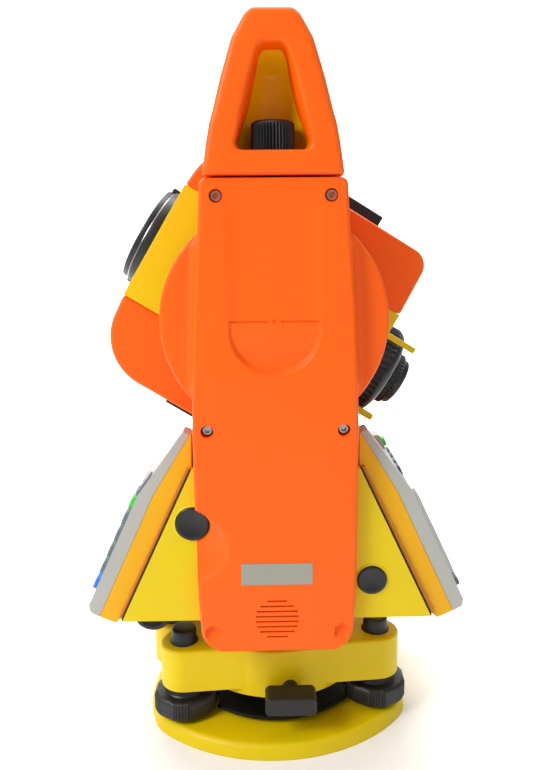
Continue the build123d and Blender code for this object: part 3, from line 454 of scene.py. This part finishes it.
# The surface as a grid, each row from the middle out: face, rounded edge, wall, fillet, disc, rim, side.
def coverSurface(near):
    c = cover
    z = coverRows()[:, None]
    half = slabHalf(z)
    disc = np.sqrt(np.clip(c["discRadius"] ** 2 - (z - c["discHeight"]) ** 2, 0, None))
    inDisc = np.clip((disc - half) / 6, 0, 1)
    outer = np.maximum(disc, half + 0.03)
    above = z > c["bodyHigh"]
    back = np.where(above, c["back"], np.where(z < c["bodyLow"], c["hem"], c["bodySide"]))
    fillet = c["fillet"] * inDisc
    # the wall stops on the disc's face where there is one, and otherwise runs on to the back
    foot = np.where(disc > half + 0.5, c["discFace"], np.minimum(c["discFace"], c["face"] - 3))
    a = np.linspace(0, np.pi / 2, 6)[None, :]
    xs, ys = [], []
    edge = c["edge"]
    flat = np.linspace(0, 1, 76)[None, :] * (half - edge)
    xs.append(flat)
    ys.append(np.full_like(flat, c["face"]))
    xs.append(half - edge + edge * np.sin(a[:, 1:]))
    ys.append(c["face"] - edge + edge * np.cos(a[:, 1:]) + 0 * z)
    t = np.linspace(0, 1, 4)[None, 1:]
    wallEnd = np.where(inDisc > 0, foot + fillet, foot)
    xs.append(half + 0 * t)
    ys.append(c["face"] - edge + (wallEnd - c["face"] + edge) * t)
    xs.append(half + fillet * (1 - np.cos(a[:, 1:])) + 0.004 * np.arange(1, 6))
    ys.append(wallEnd - fillet * np.sin(a[:, 1:]) - 0.004 * np.arange(1, 6))
    end = np.maximum(outer - c["discEdge"] * inDisc, half + fillet + 0.024)
    start = half + fillet + 0.02
    xs.append(start + (end - start) * np.linspace(0, 1, 7)[None, 1:] + 0.002 * np.arange(1, 7))
    ys.append(foot - 0.02 - 0.003 * np.arange(1, 7) + 0 * z)
    rim = c["discEdge"] * inDisc
    xs.append(end + 0.012 + rim * np.sin(a[:, 1:]) + 0.002 * np.arange(1, 6))
    ys.append(foot - 0.04 - rim + rim * np.cos(a[:, 1:]) - 0.003 * np.arange(1, 6))
    side = end + rim + 0.03
    t = np.linspace(0, 1, 4)[None, 1:]
    low = foot - 0.06 - rim
    lastY = np.minimum(back, low - 0.05)
    xs.append(side + 0 * t)
    ys.append(low + (lastY - low) * t)
    lipX = np.where(above, c["lip"], 0.6)
    xs.append(side - lipX)
    ys.append(lastY)
    xs.append(side - lipX - 0.1)
    ys.append(np.where(above, c["sheet"], lastY))
    x = np.hstack([np.broadcast_to(v, (len(z), v.shape[1])) for v in xs])
    y = np.hstack([np.broadcast_to(v, (len(z), v.shape[1])) for v in ys])
    # rounding of the slab's lower and upper edge, as a drop of the face towards the ends
    for r, away in ((2.0, z - c["low"]), (1.0, c["high"] - z)):
        k = np.clip(r - away, 0, r)
        y = np.minimum(y, c["face"] - (r - np.sqrt(r * r - k * k)))
    right = np.stack([x, y, np.broadcast_to(z, x.shape)], -1)
    left = right[:, ::-1][:, :-1] * np.array([-1, 1, 1])
    grid = np.concatenate([left, right], 1)
    sunk = coverDepth(grid[..., 0], grid[..., 2], near)
    if near:
        px, pz, pr = c["port"]
        inPort = (np.hypot(grid[..., 0] - px, grid[..., 2] - pz) < pr) & (grid[..., 1] > 60)
        grid[..., 1] = np.where(inPort, np.minimum(grid[..., 1], 61.2), grid[..., 1])
    floorY = np.maximum(c["face"] - sunk, 60.9)
    onSlab = grid[..., 1] > floorY
    grid[..., 1] = np.where(onSlab, floorY, grid[..., 1])
    return grid


def makeCover(name, near, stands):
    grid = coverSurface(near)
    if near:
        grid[..., 1] *= -1
    rows, columns = grid.shape[:2]
    faces = gridFaces(rows, columns, closeColumns=True)
    faces.append(list(range(columns)))
    faces.append(list(range((rows - 1) * columns, rows * columns))[::-1])
    makePiece(name, grid.reshape(-1, 3), faces, "alidade", "orange_plastic", "orangePlastic", (stands,),
              sharp=38)


makeCover("nearCover", True, "near_side_cover")
makeCover("farCover", False, "far_side_cover")
# a crisp ring in each screw's bore, over the surface's stepped edge
for side, tag in ((-1, "near"), (1, "far")):
    rings = []
    for sx, sz, deep in cover["screws"]:
        profile = [(-deep, 2.95), (-0.1, 2.95), (0.08, 3.05), (0.12, 3.3), (0.1, 3.6), (0.0, 3.9),
                   (-0.3, 3.95), (-deep, 3.2)]
        for xSide in (-1, 1):
            place = frameAt((xSide * sx, side * cover["face"], sz), (0, side, 0), (1, 0, 0))
            rings.append(ring(profile, place, 48))
    makePiece(tag + "BoreRings", *joined(*rings), "alidade", "orange_plastic", "orangePlastic")


# Socket heads sunk in the bores: rows of small radius follow a hexagon.
def hexSocket(angle, along, radius):
    within = np.mod(angle, np.pi / 3) - np.pi / 6
    return np.where((radius < 1.5) & (along > -9), math.cos(np.pi / 6) / np.cos(within), 1.0)


heads = []
for side in (-1, 1):
    for sx, sz, deep in cover["screws"]:
        top = -0.9 if deep < 4 else -3.4
        for xSide in (-1, 1):
            place = frameAt((xSide * sx, side * cover["face"], sz), (0, side, 0), (1, 0, 0))
            head = [(top - 9, 0), (top - 9, 1.2), (top - 2.4, 1.2), (top - 2.4, 2.35), (top - 0.4, 2.35),
                    (top, 2.0), (top, 1.45), (top - 0.2, 1.3), (top - 1.6, 1.3), (top - 1.6, 0)]
            heads.append(turnedPart(head, place, 48, hexSocket))
makePiece("coverScrews", *joined(*heads), "alidade", "steel", "steel", ("cover_screws",))
print("side covers made")


# ---- carrying handle ----
# Each leg is a closed grid: round the outline, and round the section from the window's edge over the face,
# the outer side, the back and the drafted reveal.
handle = {
    "outerHeights": [283.5, 284.5, 293, 297.6, 305, 309.5, 323, 333, 338.5, 347.5, 349.4, 350.0],
    "outerHalves": [30.6, 30.5, 29.2, 28.5, 27.0, 25.6, 22.0, 18.8, 17.0, 11.6, 9.4, 8.0],
    "windowHeights": [293.8, 294.4, 296.2, 297.5, 309, 321, 331, 334, 335.8, 336.2],
    "windowHalves": [13.2, 14.9, 16.0, 15.9, 13.0, 10.0, 7.2, 6.0, 4.2, 3.0],
    "centre": 311.0, "face": 69.9, "back": 46.0, "draft": 2.2,
}


# Radius of an outline given by half widths at heights, seen from the handle's centre at each angle.
def outlineRadius(heights, halves, angle):
    z = np.concatenate([heights, heights[::-1]]) - handle["centre"]
    x = np.concatenate([halves, -np.array(halves)[::-1]])
    x, z = np.append(x, x[0]), np.append(z, z[0])
    t = np.linspace(0, 1, 40, endpoint=False)
    x = (x[:-1, None] + (x[1:] - x[:-1])[:, None] * t).ravel()
    z = (z[:-1, None] + (z[1:] - z[:-1])[:, None] * t).ravel()
    direction = np.unwrap(np.arctan2(z, x))
    order = np.argsort(direction)
    return np.interp(angle, direction[order], np.hypot(x, z)[order], period=2 * np.pi)


def handleLeg(side):
    angle = np.linspace(0, 2 * np.pi, 280, endpoint=False)
    inner = outlineRadius(handle["windowHeights"], handle["windowHalves"], angle)
    outer = outlineRadius(handle["outerHeights"], handle["outerHalves"], angle)
    face, back, length = handle["face"], handle["back"], outer - inner
    one = np.ones_like(angle)
    # section points as (distance out from the window's edge, depth)
    rounding = ((0, 2.0), (0.3, 1.1), (0.9, 0.4), (1.8, 0.08), (2.8, 0))
    section = [(out * one, (face - drop) * one) for out, drop in rounding]
    section += [(2.8 + (length - 6.2) * t, face * one) for t in (0.33, 0.66)]
    rounding = ((3.4, 0), (2.2, 0.15), (1.2, 0.6), (0.45, 1.4), (0.05, 2.6), (0, 4))
    section += [(length - out, (face - drop) * one) for out, drop in rounding]
    rounding = ((0, 3), (0.3, 1.2), (1.3, 0.2), (2.6, 0))
    section += [(length - out, (back + rise) * one) for out, rise in rounding]
    rounding = ((3.2, 0), (1.6, 0.2), (0.1, 1.4))
    section += [((out - handle["draft"]) * one, (back + rise) * one) for out, rise in rounding]
    rings = []
    for out, depth in section:
        radius = inner + out
        height = handle["centre"] + radius * np.sin(angle)
        rings.append(np.stack([radius * np.cos(angle), side * depth, height], -1))
    grid = np.array(rings)
    return grid.reshape(-1, 3), gridFaces(len(section), len(angle), closeColumns=True, closeRows=True)


# the grip between the legs: the crown's outline carried along Y
crown = np.array([(-8.0, 350.0), (8.0, 350.0), (16.6, 338.9), (16.9, 337.2),
                  (15.6, 336.4), (-15.6, 336.4), (-16.9, 337.2), (-16.6, 338.9)]) - np.array([0, 0.12])
crown = roundOutline(crown, [4, 4, 1.2, 0.5, 1, 1, 0.5, 1.2], 6)
acrossY = frameAt((0, 0, 0), (0, -1, 0), (1, 0, 0))
grip = plateAlong(crown, [(-50.0, 0), (-30, 0), (0, 0), (30, 0), (50, 0)], acrossY)
makePiece("handleShell", *joined(handleLeg(-1), handleLeg(1), grip), "alidade", "orange_plastic",
          "orangePlastic", ("handle_shell",), sharp=40)

# the liner seen through each window: a trough whose depth follows a half ellipse across its width
liner = {"low": 285.5, "high": 338.6, "edgeDepth": 62.0, "midDepth": 46.6, "back": 44.5}
linerPoints, linerFaces = [], []
for side in (-1, 1):
    t = np.linspace(-1, 1, 49)[None, :]
    z = np.linspace(liner["low"], liner["high"], 60)[:, None]
    half = np.interp(z, handle["windowHeights"], handle["windowHalves"]) + 2.0
    half = np.where(z < 297, np.interp(297.5, handle["windowHeights"], handle["windowHalves"]) + 2.0, half)
    half = np.maximum(half, 6.5)
    curve = np.sqrt(np.clip(1 - np.clip(np.abs(t) * 1.12, 0, 1) ** 2.6, 0, None))
    depth = liner["edgeDepth"] + (liner["midDepth"] - liner["edgeDepth"]) * curve
    depth = depth + smooth(z, 326, 338.6) * (liner["edgeDepth"] - depth)
    front = np.stack([t * half, side * depth, z + 0 * t], -1)
    backSheet = np.stack([t * (half + 0.5), side * (0 * depth + liner["back"]), z + 0 * t], -1)
    rows, columns = front.shape[:2]
    start = len(linerPoints)
    count = rows * columns
    linerPoints += front.reshape(-1, 3).tolist() + backSheet.reshape(-1, 3).tolist()
    linerFaces += gridFaces(rows, columns, start=start)
    linerFaces += [face[::-1] for face in gridFaces(rows, columns, start=start + count)]
    edge = [r * columns + columns - 1 for r in range(rows)]
    edge += [(rows - 1) * columns + c for c in range(columns - 2, -1, -1)]
    edge += [r * columns for r in range(rows - 2, -1, -1)] + list(range(1, columns - 1))
    for a, b in zip(edge, edge[1:] + edge[:1]):
        linerFaces.append([start + a, start + b, start + count + b, start + count + a])
strip = roundOutline([(-13.5, 333.4), (13.5, 333.4), (13.5, 336.6), (-13.5, 336.6)], 1.2, 4)
bridge = plateAlong(strip, [(-45.5, 0), (0, 0), (45.5, 0)], acrossY)
makePiece("handleLiner", *joined((linerPoints, linerFaces), bridge), "alidade", "yellow_plastic",
          "yellowPlastic", ("handle_core",), sharp=50)


# Straight knurl: the radius dips between ribs, by cos(count * angle) sharpened, faded towards the ends.
def knurl(count, depth, low, high, fade=0.8, power=0.6):
    def factor(angle, along, radius):
        wave = np.cos(count * angle)
        wave = np.sign(wave) * np.abs(wave) ** power
        inside = smooth(along, low, low + fade) * (1 - smooth(along, high - fade, high))
        return 1 + inside * depth * (wave - 1) / 2 / np.maximum(radius, 1)
    return factor


knobs = {"near": (-57.0, "handle_screw_near"), "far": (57.0, "handle_screw_far")}
for tag, (y, node) in knobs.items():
    profile = [(272.0, 0), (272.0, 4.0), (288.0, 4.0), (288.0, 8.2), (288.6, 9.0), (289.2, 9.4)]
    profile += [(289.2 + t * 16.2, 9.5) for t in np.linspace(0.02, 0.98, 16)]
    profile += [(305.6, 9.3), (306.2, 8.9), (306.6, 8.2), (306.7, 7.4), (306.3, 6.9), (306.3, 0)]
    place = frameAt((0, y, 0), (0, 0, 1), (1, 0, 0))
    makePiece(tag + "HandleScrew", *turnedPart(profile, place, 240, knurl(40, 0.9, 289.0, 305.6)), node,
              "black_plastic", "blackPlastic", (node,), sharp=50)
print("handle made")


# ---- telescope trim, in its own frame: u towards the objective, v up ----
tilt = math.radians(31.5)
scopePlace = frameAt((0, 0, 220.5), (-math.cos(tilt), 0, math.sin(tilt)), (0, -1, 0))
objective = [(60, 21.2), (60, 23.9), (68.15, 23.9), (68.15, 25.3), (68.7, 26), (72.2, 26), (72.7, 25.8),
             (72.9, 25.3), (72.9, 24.7), (73.3, 24.5), (73.9, 24.9), (75.7, 24.9), (76.3, 24.6),
             (76.5, 24.0), (76.4, 23.3), (75.4, 22.9), (75.0, 22.3), (74.0, 22.0), (73.4, 21.4)]
lugs = [pad(scopePlace, (68.2, 75.2), (-3.2, 3.2), (24.4, 27.2), 0.9, 0.8),
        pad(scopePlace, (68.2, 73.6), (-2.2, 2.2), (-26.8, -24.4), 0.8, 0.6)]
makePiece("objectiveRing", *joined(ring(objective, scopePlace), *lugs), "telescope", "black_plastic",
          "blackPlastic", ("objective_ring",))
line = [(73.0, 24.4), (73.0, 24.95), (73.25, 25.05), (73.5, 24.95), (73.5, 24.4)]
makePiece("objectiveLine", *ring(line, scopePlace), "telescope", "steel", "steel")

focus = [(-56.05, 17.06), (-56.05, 24.0), (-56.5, 24.9)]
focus += [(-56.8 - t * 8.6, 25.0) for t in np.linspace(0, 1, 8)]
focus += [(-66.4, 24.7), (-67.8, 23.9), (-69.0, 22.6), (-69.7, 21.0), (-70.0, 19.0), (-70.0, 17.06)]
makePiece("focusKnob", *ring(focus, scopePlace, 300, knurl(50, 0.9, -65.6, -56.9)), "focus_ring",
          "black_plastic", "blackPlastic", ("focus_ring",), sharp=50)
ocular = [(-60.5, 8.02), (-60.5, 9.98), (-71.4, 9.98), (-71.5, 13.6), (-71.9, 14.4)]
ocular += [(-72.1 - t * 3.4, 14.5) for t in np.linspace(0, 1, 6)]
ocular += [(-75.7, 14.2), (-75.9, 13.2), (-76.1, 12.9), (-78.4, 12.8), (-79.1, 12.3), (-79.5, 11.4),
           (-79.5, 9.6), (-79.0, 8.8), (-78.0, 8.02)]
makePiece("eyepieceRing", *ring(ocular, scopePlace, 240, knurl(40, 0.5, -75.7, -72.0)), "eyepiece",
          "black_plastic", "blackPlastic", ("eyepiece_ring",), sharp=50)

# ---- motion knobs: a tangent knob outside a clamp knob on each axis ----
pairs = {
    # axis, side, front of the tangent knob, its back, front of the clamp knob, its back
    "horizontal": ((-63.5, 0, 69.5), -1, 47.0, 34.06, 33.56, 23.0),
    "vertical": ((0.0, 0, 135.0), 1, 91.0, 78.96, 78.46, 68.6),
}
for tag, (origin, side, front, split, clampFront, back) in pairs.items():
    place = frameAt(origin, (0, side, 0), (1, 0, 0))
    outer = [(back - 13, 0), (back - 13, 3.0), (split + 0.5, 3.0), (split, 8.8), (split + 0.4, 9.6),
             (split + 1.0, 10.0)]
    outer += [(split + 1.2 + t * (front - split - 2.6), 10.0) for t in np.linspace(0, 1, 8)]
    outer += [(front - 1.0, 9.8), (front - 0.3, 9.3), (front, 8.5), (front, 7.4), (front - 0.5, 6.9),
              (front - 0.6, 2.0), (front - 0.6, 1.3), (front - 3.0, 1.2), (front - 3.0, 0)]
    makePiece(tag + "Tangent", *turnedPart(outer, place, 216, knurl(36, 0.7, split + 1, front - 1)),
              tag + "_tangent", "black_plastic", "blackPlastic", (tag + "_tangent_knob",), sharp=45)
    inner = [(back - 7, 3.06), (back - 7, 5.0), (back, 5.0), (back, 8.4), (back + 0.8, 9.3)]
    inner += [(back + 1 + t * (clampFront - back - 2), 9.3) for t in np.linspace(0, 1, 6)]
    inner += [(clampFront - 0.3, 8.9), (clampFront, 8.4), (clampFront, 3.06)]
    ribs = knurl(12, 1.2, back + 0.5, clampFront - 0.5, 0.8, 1.0)
    makePiece(tag + "Clamp", *ring(inner, place, 192, ribs), tag + "_clamp", "black_plastic",
              "blackPlastic", (tag + "_clamp_knob",), sharp=45)
print("telescope trim and motion knobs made")


# ---- footscrews: twelve sectors round the knob, flat facets and groups of ribs in turn ----
def facets(angle, along, radius):
    sector = np.floor(angle / (np.pi / 6))
    within = angle - (sector + 0.5) * np.pi / 6
    flat = math.cos(np.pi / 12) / np.cos(within) * 0.992
    ribs = 0.985 + 0.015 * np.sign(np.cos(within * 66)) * np.abs(np.cos(within * 66)) ** 0.5
    shape = np.where(sector % 2 == 0, flat, ribs)
    return np.where((along > 8.9) & (along < 19.1) & (radius > 13), shape, 1.0)


screws = {"footscrew_left": 214.7, "footscrew_right": 334.7, "footscrew_rear": 94.7}
screwCircle = 60.0
screwProfile = [(4.5, 0), (4.5, 4.9), (8.3, 4.9), (8.5, 13.6), (8.95, 15.4), (9.6, 16.6), (10.4, 17.0),
                (12.5, 17.0), (15.0, 17.0), (17.6, 17.0), (18.4, 16.7), (19.05, 16.0), (19.4, 15.0),
                (19.55, 13.6), (19.9, 11.6), (20.5, 11.1), (22.3, 11.0), (22.7, 10.4), (22.7, 4.2),
                (23.0, 4.0), (46.0, 4.0), (46.0, 0)]
capProfile = [(46.9, 0), (46.9, 7.5), (47.4, 7.5), (48.2, 6.9), (49.4, 6.64), (53.4, 6.5), (54.2, 6.2),
              (54.7, 5.6), (54.8, 4.8), (54.8, 0)]
capPieces = []
for node, angle in screws.items():
    x, y = screwCircle * math.cos(math.radians(angle)), screwCircle * math.sin(math.radians(angle))
    spin = math.radians(angle + 8)
    place = frameAt((x, y, 0), (0, 0, 1), (math.cos(spin), math.sin(spin), 0))
    makePiece(node + "Knob", *turnedPart(screwProfile, place, 432, facets), node, "black_plastic",
              "blackPlastic", (node,), sharp=35)
    capPieces.append(turnedPart(capProfile, place, 72))
makePiece("screwCaps", *joined(*capPieces), "tribrach", "black_plastic", "blackPlastic",
          ("footscrew_caps",), sharp=40)

# ---- port caps in their rims on the body's side ----
ports = {"data_port_cap": (-40.0, 123.7, 8.2), "power_port_cap": (46.3, 93.4, 7.2)}
rims = []
for node, (x, z, radius) in ports.items():
    place = frameAt((x, 0, z), (0, -1, 0), (1, 0, 0))
    cap = [(54.6, 0), (54.6, radius * 0.7), (61.5, radius * 0.7), (61.6, radius - 0.1), (62.3, radius),
           (62.65, radius - 0.3), (62.8, radius - 0.8), (62.8, radius - 1.6), (62.55, radius - 2.0),
           (62.5, 0)]
    makePiece(node + "Disc", *turnedPart(cap, place, 96), node, "black_plastic", "blackPlastic", (node,),
              sharp=40)
    rim = [(61.2, radius + 0.12), (61.9, radius + 0.12), (62.1, radius + 0.3), (62.0, radius + 0.8),
           (61.2, radius + 1.3)]
    rims.append(ring(rim, place, 96))
makePiece("portRims", *joined(*rims), "alidade", "yellow_casting", "yellowEnamel", sharp=50)
print("footscrews, caps and ports made")


# ---- keys: rounded pads on each panel's lower face, s down from the bend, w to the user's right ----
keyboard = {
    "bend": (66.8, 135.8), "slope": math.atan2(55.9, 26.2), "rise": 2.1,
    "number": ([13.5, 22.8, 32.1, 41.4, 50.7], [17.0, 28.5, 40.0, 51.0], (6.2, 8.0)),
    "function": ([55.5], [-46.0, -32.0, -18.0, -4.0], (4.6, 9.0)),
    "power": ([5.0], [51.0], (5.6, 7.0)),
}


# The panel's frame on a side: along points out of the face, right down the slope, up to the user's right.
def panelPlace(side, slope=keyboard["slope"]):
    x, z = keyboard["bend"]
    out = (side * math.sin(slope), 0, math.cos(slope))
    down = (side * math.cos(slope), 0, -math.sin(slope))
    return frameAt((side * x, 0, z), out, down)


keyLooks = {
    "number": ("rubber_grey", "keyGrey"), "function": ("rubber_grey", "keyGrey"),
    "power": ("rubber_green", "keyGreen"),
}
for tag, side in (("front", 1), ("rear", -1)):
    place = panelPlace(side)
    way = side * float(np.sign(place[3][1]))
    for kind in ("number", "function", "power"):
        rows, columns, (tall, wide) = keyboard[kind]
        parts, blue = [], []
        for row in rows:
            for column in columns:
                b = (row - tall / 2, row + tall / 2)
                c = sorted((way * (column - wide / 2), way * (column + wide / 2)))
                part = pad(place, (-2.0, keyboard["rise"]), b, c, 1.5, 0.7)
                parts.append(part)
                blue += [kind == "number" and row == rows[-1] and column == columns[-1]] * len(part[1])
        node = tag + "_power_key" if kind == "power" else f"{tag}_{kind}_keys"
        piece = makePiece(node + "Pads", *joined(*parts), node, *keyLooks[kind], (node,), sharp=50)
        # the lowest key of the outer column is blue
        piece.data.materials.append(mats["keyBlue"])
        for face, isBlue in zip(piece.data.polygons, blue):
            face.material_index = int(isBlue)
# three marker pads above the bend of the rear panel
place = panelPlace(-1, math.atan2(31.9, 23.2))
way = -float(np.sign(place[3][1]))
markers = [pad(place, (-1.0, 1.1), (s - 1.7, s + 1.7), sorted((way * 48.0, way * 55.5)), 0.8, 0.4)
           for s in (-10.2, -5.8, -1.4)]
# the step in the housing's edge beside the display
place = panelPlace(1)
way = float(np.sign(place[3][1]))
step = pad(place, (-3.0, 1.6), (1.2, 47.0), sorted((-way * 56.6, -way * 46.4)), 1.6, 0.5)
makePiece("housingStep", *step, "alidade", "grey_plastic", "greyPlastic", sharp=50)
makePiece("statusPads", *joined(*markers), "alidade", "rubber_grey", "keyGrey", sharp=50)
# a dark gasket and an amber lip along the joint between each bezel and the body; the lip's darker amber is
# painted shade
seams = {
    "gasket": (-0.2, 0.7, 60.3, "black_plastic", "gasket"),
    # the lip is the amber moulding darkened with painted shade on the bezel's slanted edge
    "lip": (0.7, 2.4, 58.6, "amber_plastic", "amberShade"),
}
lean = math.atan2(76.7, 36.0)    # the body's slanted side
for tag, (low, high, reach, slotName, material) in seams.items():
    parts = []
    for side in (-1, 1):
        place = frameAt((side * 76.0, 0, 73.3), (0, side, 0), (-side * math.cos(lean), 0, math.sin(lean)))
        way = float(np.sign(place[3][0] * side))
        c = sorted((way * low, way * high))
        parts.append(pad(place, (-reach, reach), (-0.5, 84.0), c, 0.3, 0.3))
    makePiece("joint" + tag.capitalize(), *joined(*parts), "alidade", slotName, material)
print("keys and joint lines made")


# ---- camera: fitted to the view from the plate's side, a little above the trunnion axis ----
yaw, pitch, roll = math.radians(1.0), math.radians(11.29), math.radians(-0.51)
forward = Vector((math.sin(yaw) * math.cos(pitch), math.cos(yaw) * math.cos(pitch), -math.sin(pitch)))
right = Vector((math.cos(yaw), -math.sin(yaw), 0))
up = right.cross(forward)
cameraX = math.cos(roll) * right + math.sin(roll) * up
cameraY = -math.sin(roll) * right + math.cos(roll) * up
cameraData = bpy.data.cameras.new("camera")
cameraData.lens = 34.08
cameraData.sensor_width = 36.0
cameraData.clip_start = 0.01
camera = bpy.data.objects.new("camera", cameraData)
scene.collection.objects.link(camera)
turn = Matrix((cameraX, cameraY, -forward)).transposed().to_4x4()
camera.matrix_world = Matrix.Translation(Vector((-5.79, -390.6, 256.4)) * 0.001) @ turn
scene.camera = camera
scene.view_settings.view_transform = "Standard"

# ---- stage: a pale floor that curves up behind, and soft lights from the upper left ----
stage = {"width": 3000.0, "front": -1500.0, "back": 1100.0, "sweep": 500.0, "height": 1500.0}
angles = np.linspace(0, np.pi / 2, 25)
line = [(stage["front"], 0.0)]
line += [(stage["back"] + stage["sweep"] * math.sin(a), stage["sweep"] * (1 - math.cos(a))) for a in angles]
line += [(stage["back"] + stage["sweep"], stage["height"])]
line = np.array(line)
across = np.array([[-1.0, 1.0]]) * stage["width"] / 2
floorPoints = np.stack(np.broadcast_arrays(across, line[:, :1], line[:, 1:]), -1).reshape(-1, 3)
floorMesh = bpy.data.meshes.new("floor")
floorMesh.from_pydata((floorPoints * 0.001).tolist(), [], gridFaces(len(line), 2))
floorMesh.shade_smooth()
floor = bpy.data.objects.new("floor", floorMesh)
scene.collection.objects.link(floor)
paper = bpy.data.materials.new("paper")
paper.use_nodes = True
matt = paper.node_tree.nodes["Principled BSDF"].inputs
matt["Base Color"].default_value = hexLinear("#F4F4F2")
matt["Roughness"].default_value = 0.8
floorMesh.materials.append(paper)

lamps = [
    # name, place, target, size, power
    ("key", (-720, -560, 780), (0, 0, 180), 420, 9.6),
    ("fill", (620, -760, 300), (0, 0, 170), 700, 0.8),
    ("top", (0, 60, 1000), (0, 0, 200), 800, 4.0),
    ("rim", (-300, 760, 620), (0, 0, 220), 500, 2.0),
    ("backdrop", (0, 500, 1300), (0, 1500, 500), 1400, 45.0),
]
for name, place, target, size, power in lamps:
    data = bpy.data.lights.new(name, "AREA")
    data.size = size * 0.001
    data.energy = power
    lamp = bpy.data.objects.new(name, data)
    scene.collection.objects.link(lamp)
    lamp.location = Vector(place) * 0.001
    lamp.rotation_euler = (Vector(target) - Vector(place)).to_track_quat("-Z", "Y").to_euler()
world = bpy.data.worlds.new("studio")
scene.world = world
world.use_nodes = True
sky = world.node_tree.nodes["Background"].inputs
sky["Color"].default_value = (0.95, 0.97, 1.0, 1.0)
sky["Strength"].default_value = 0.34
print("camera, stage and lights placed")
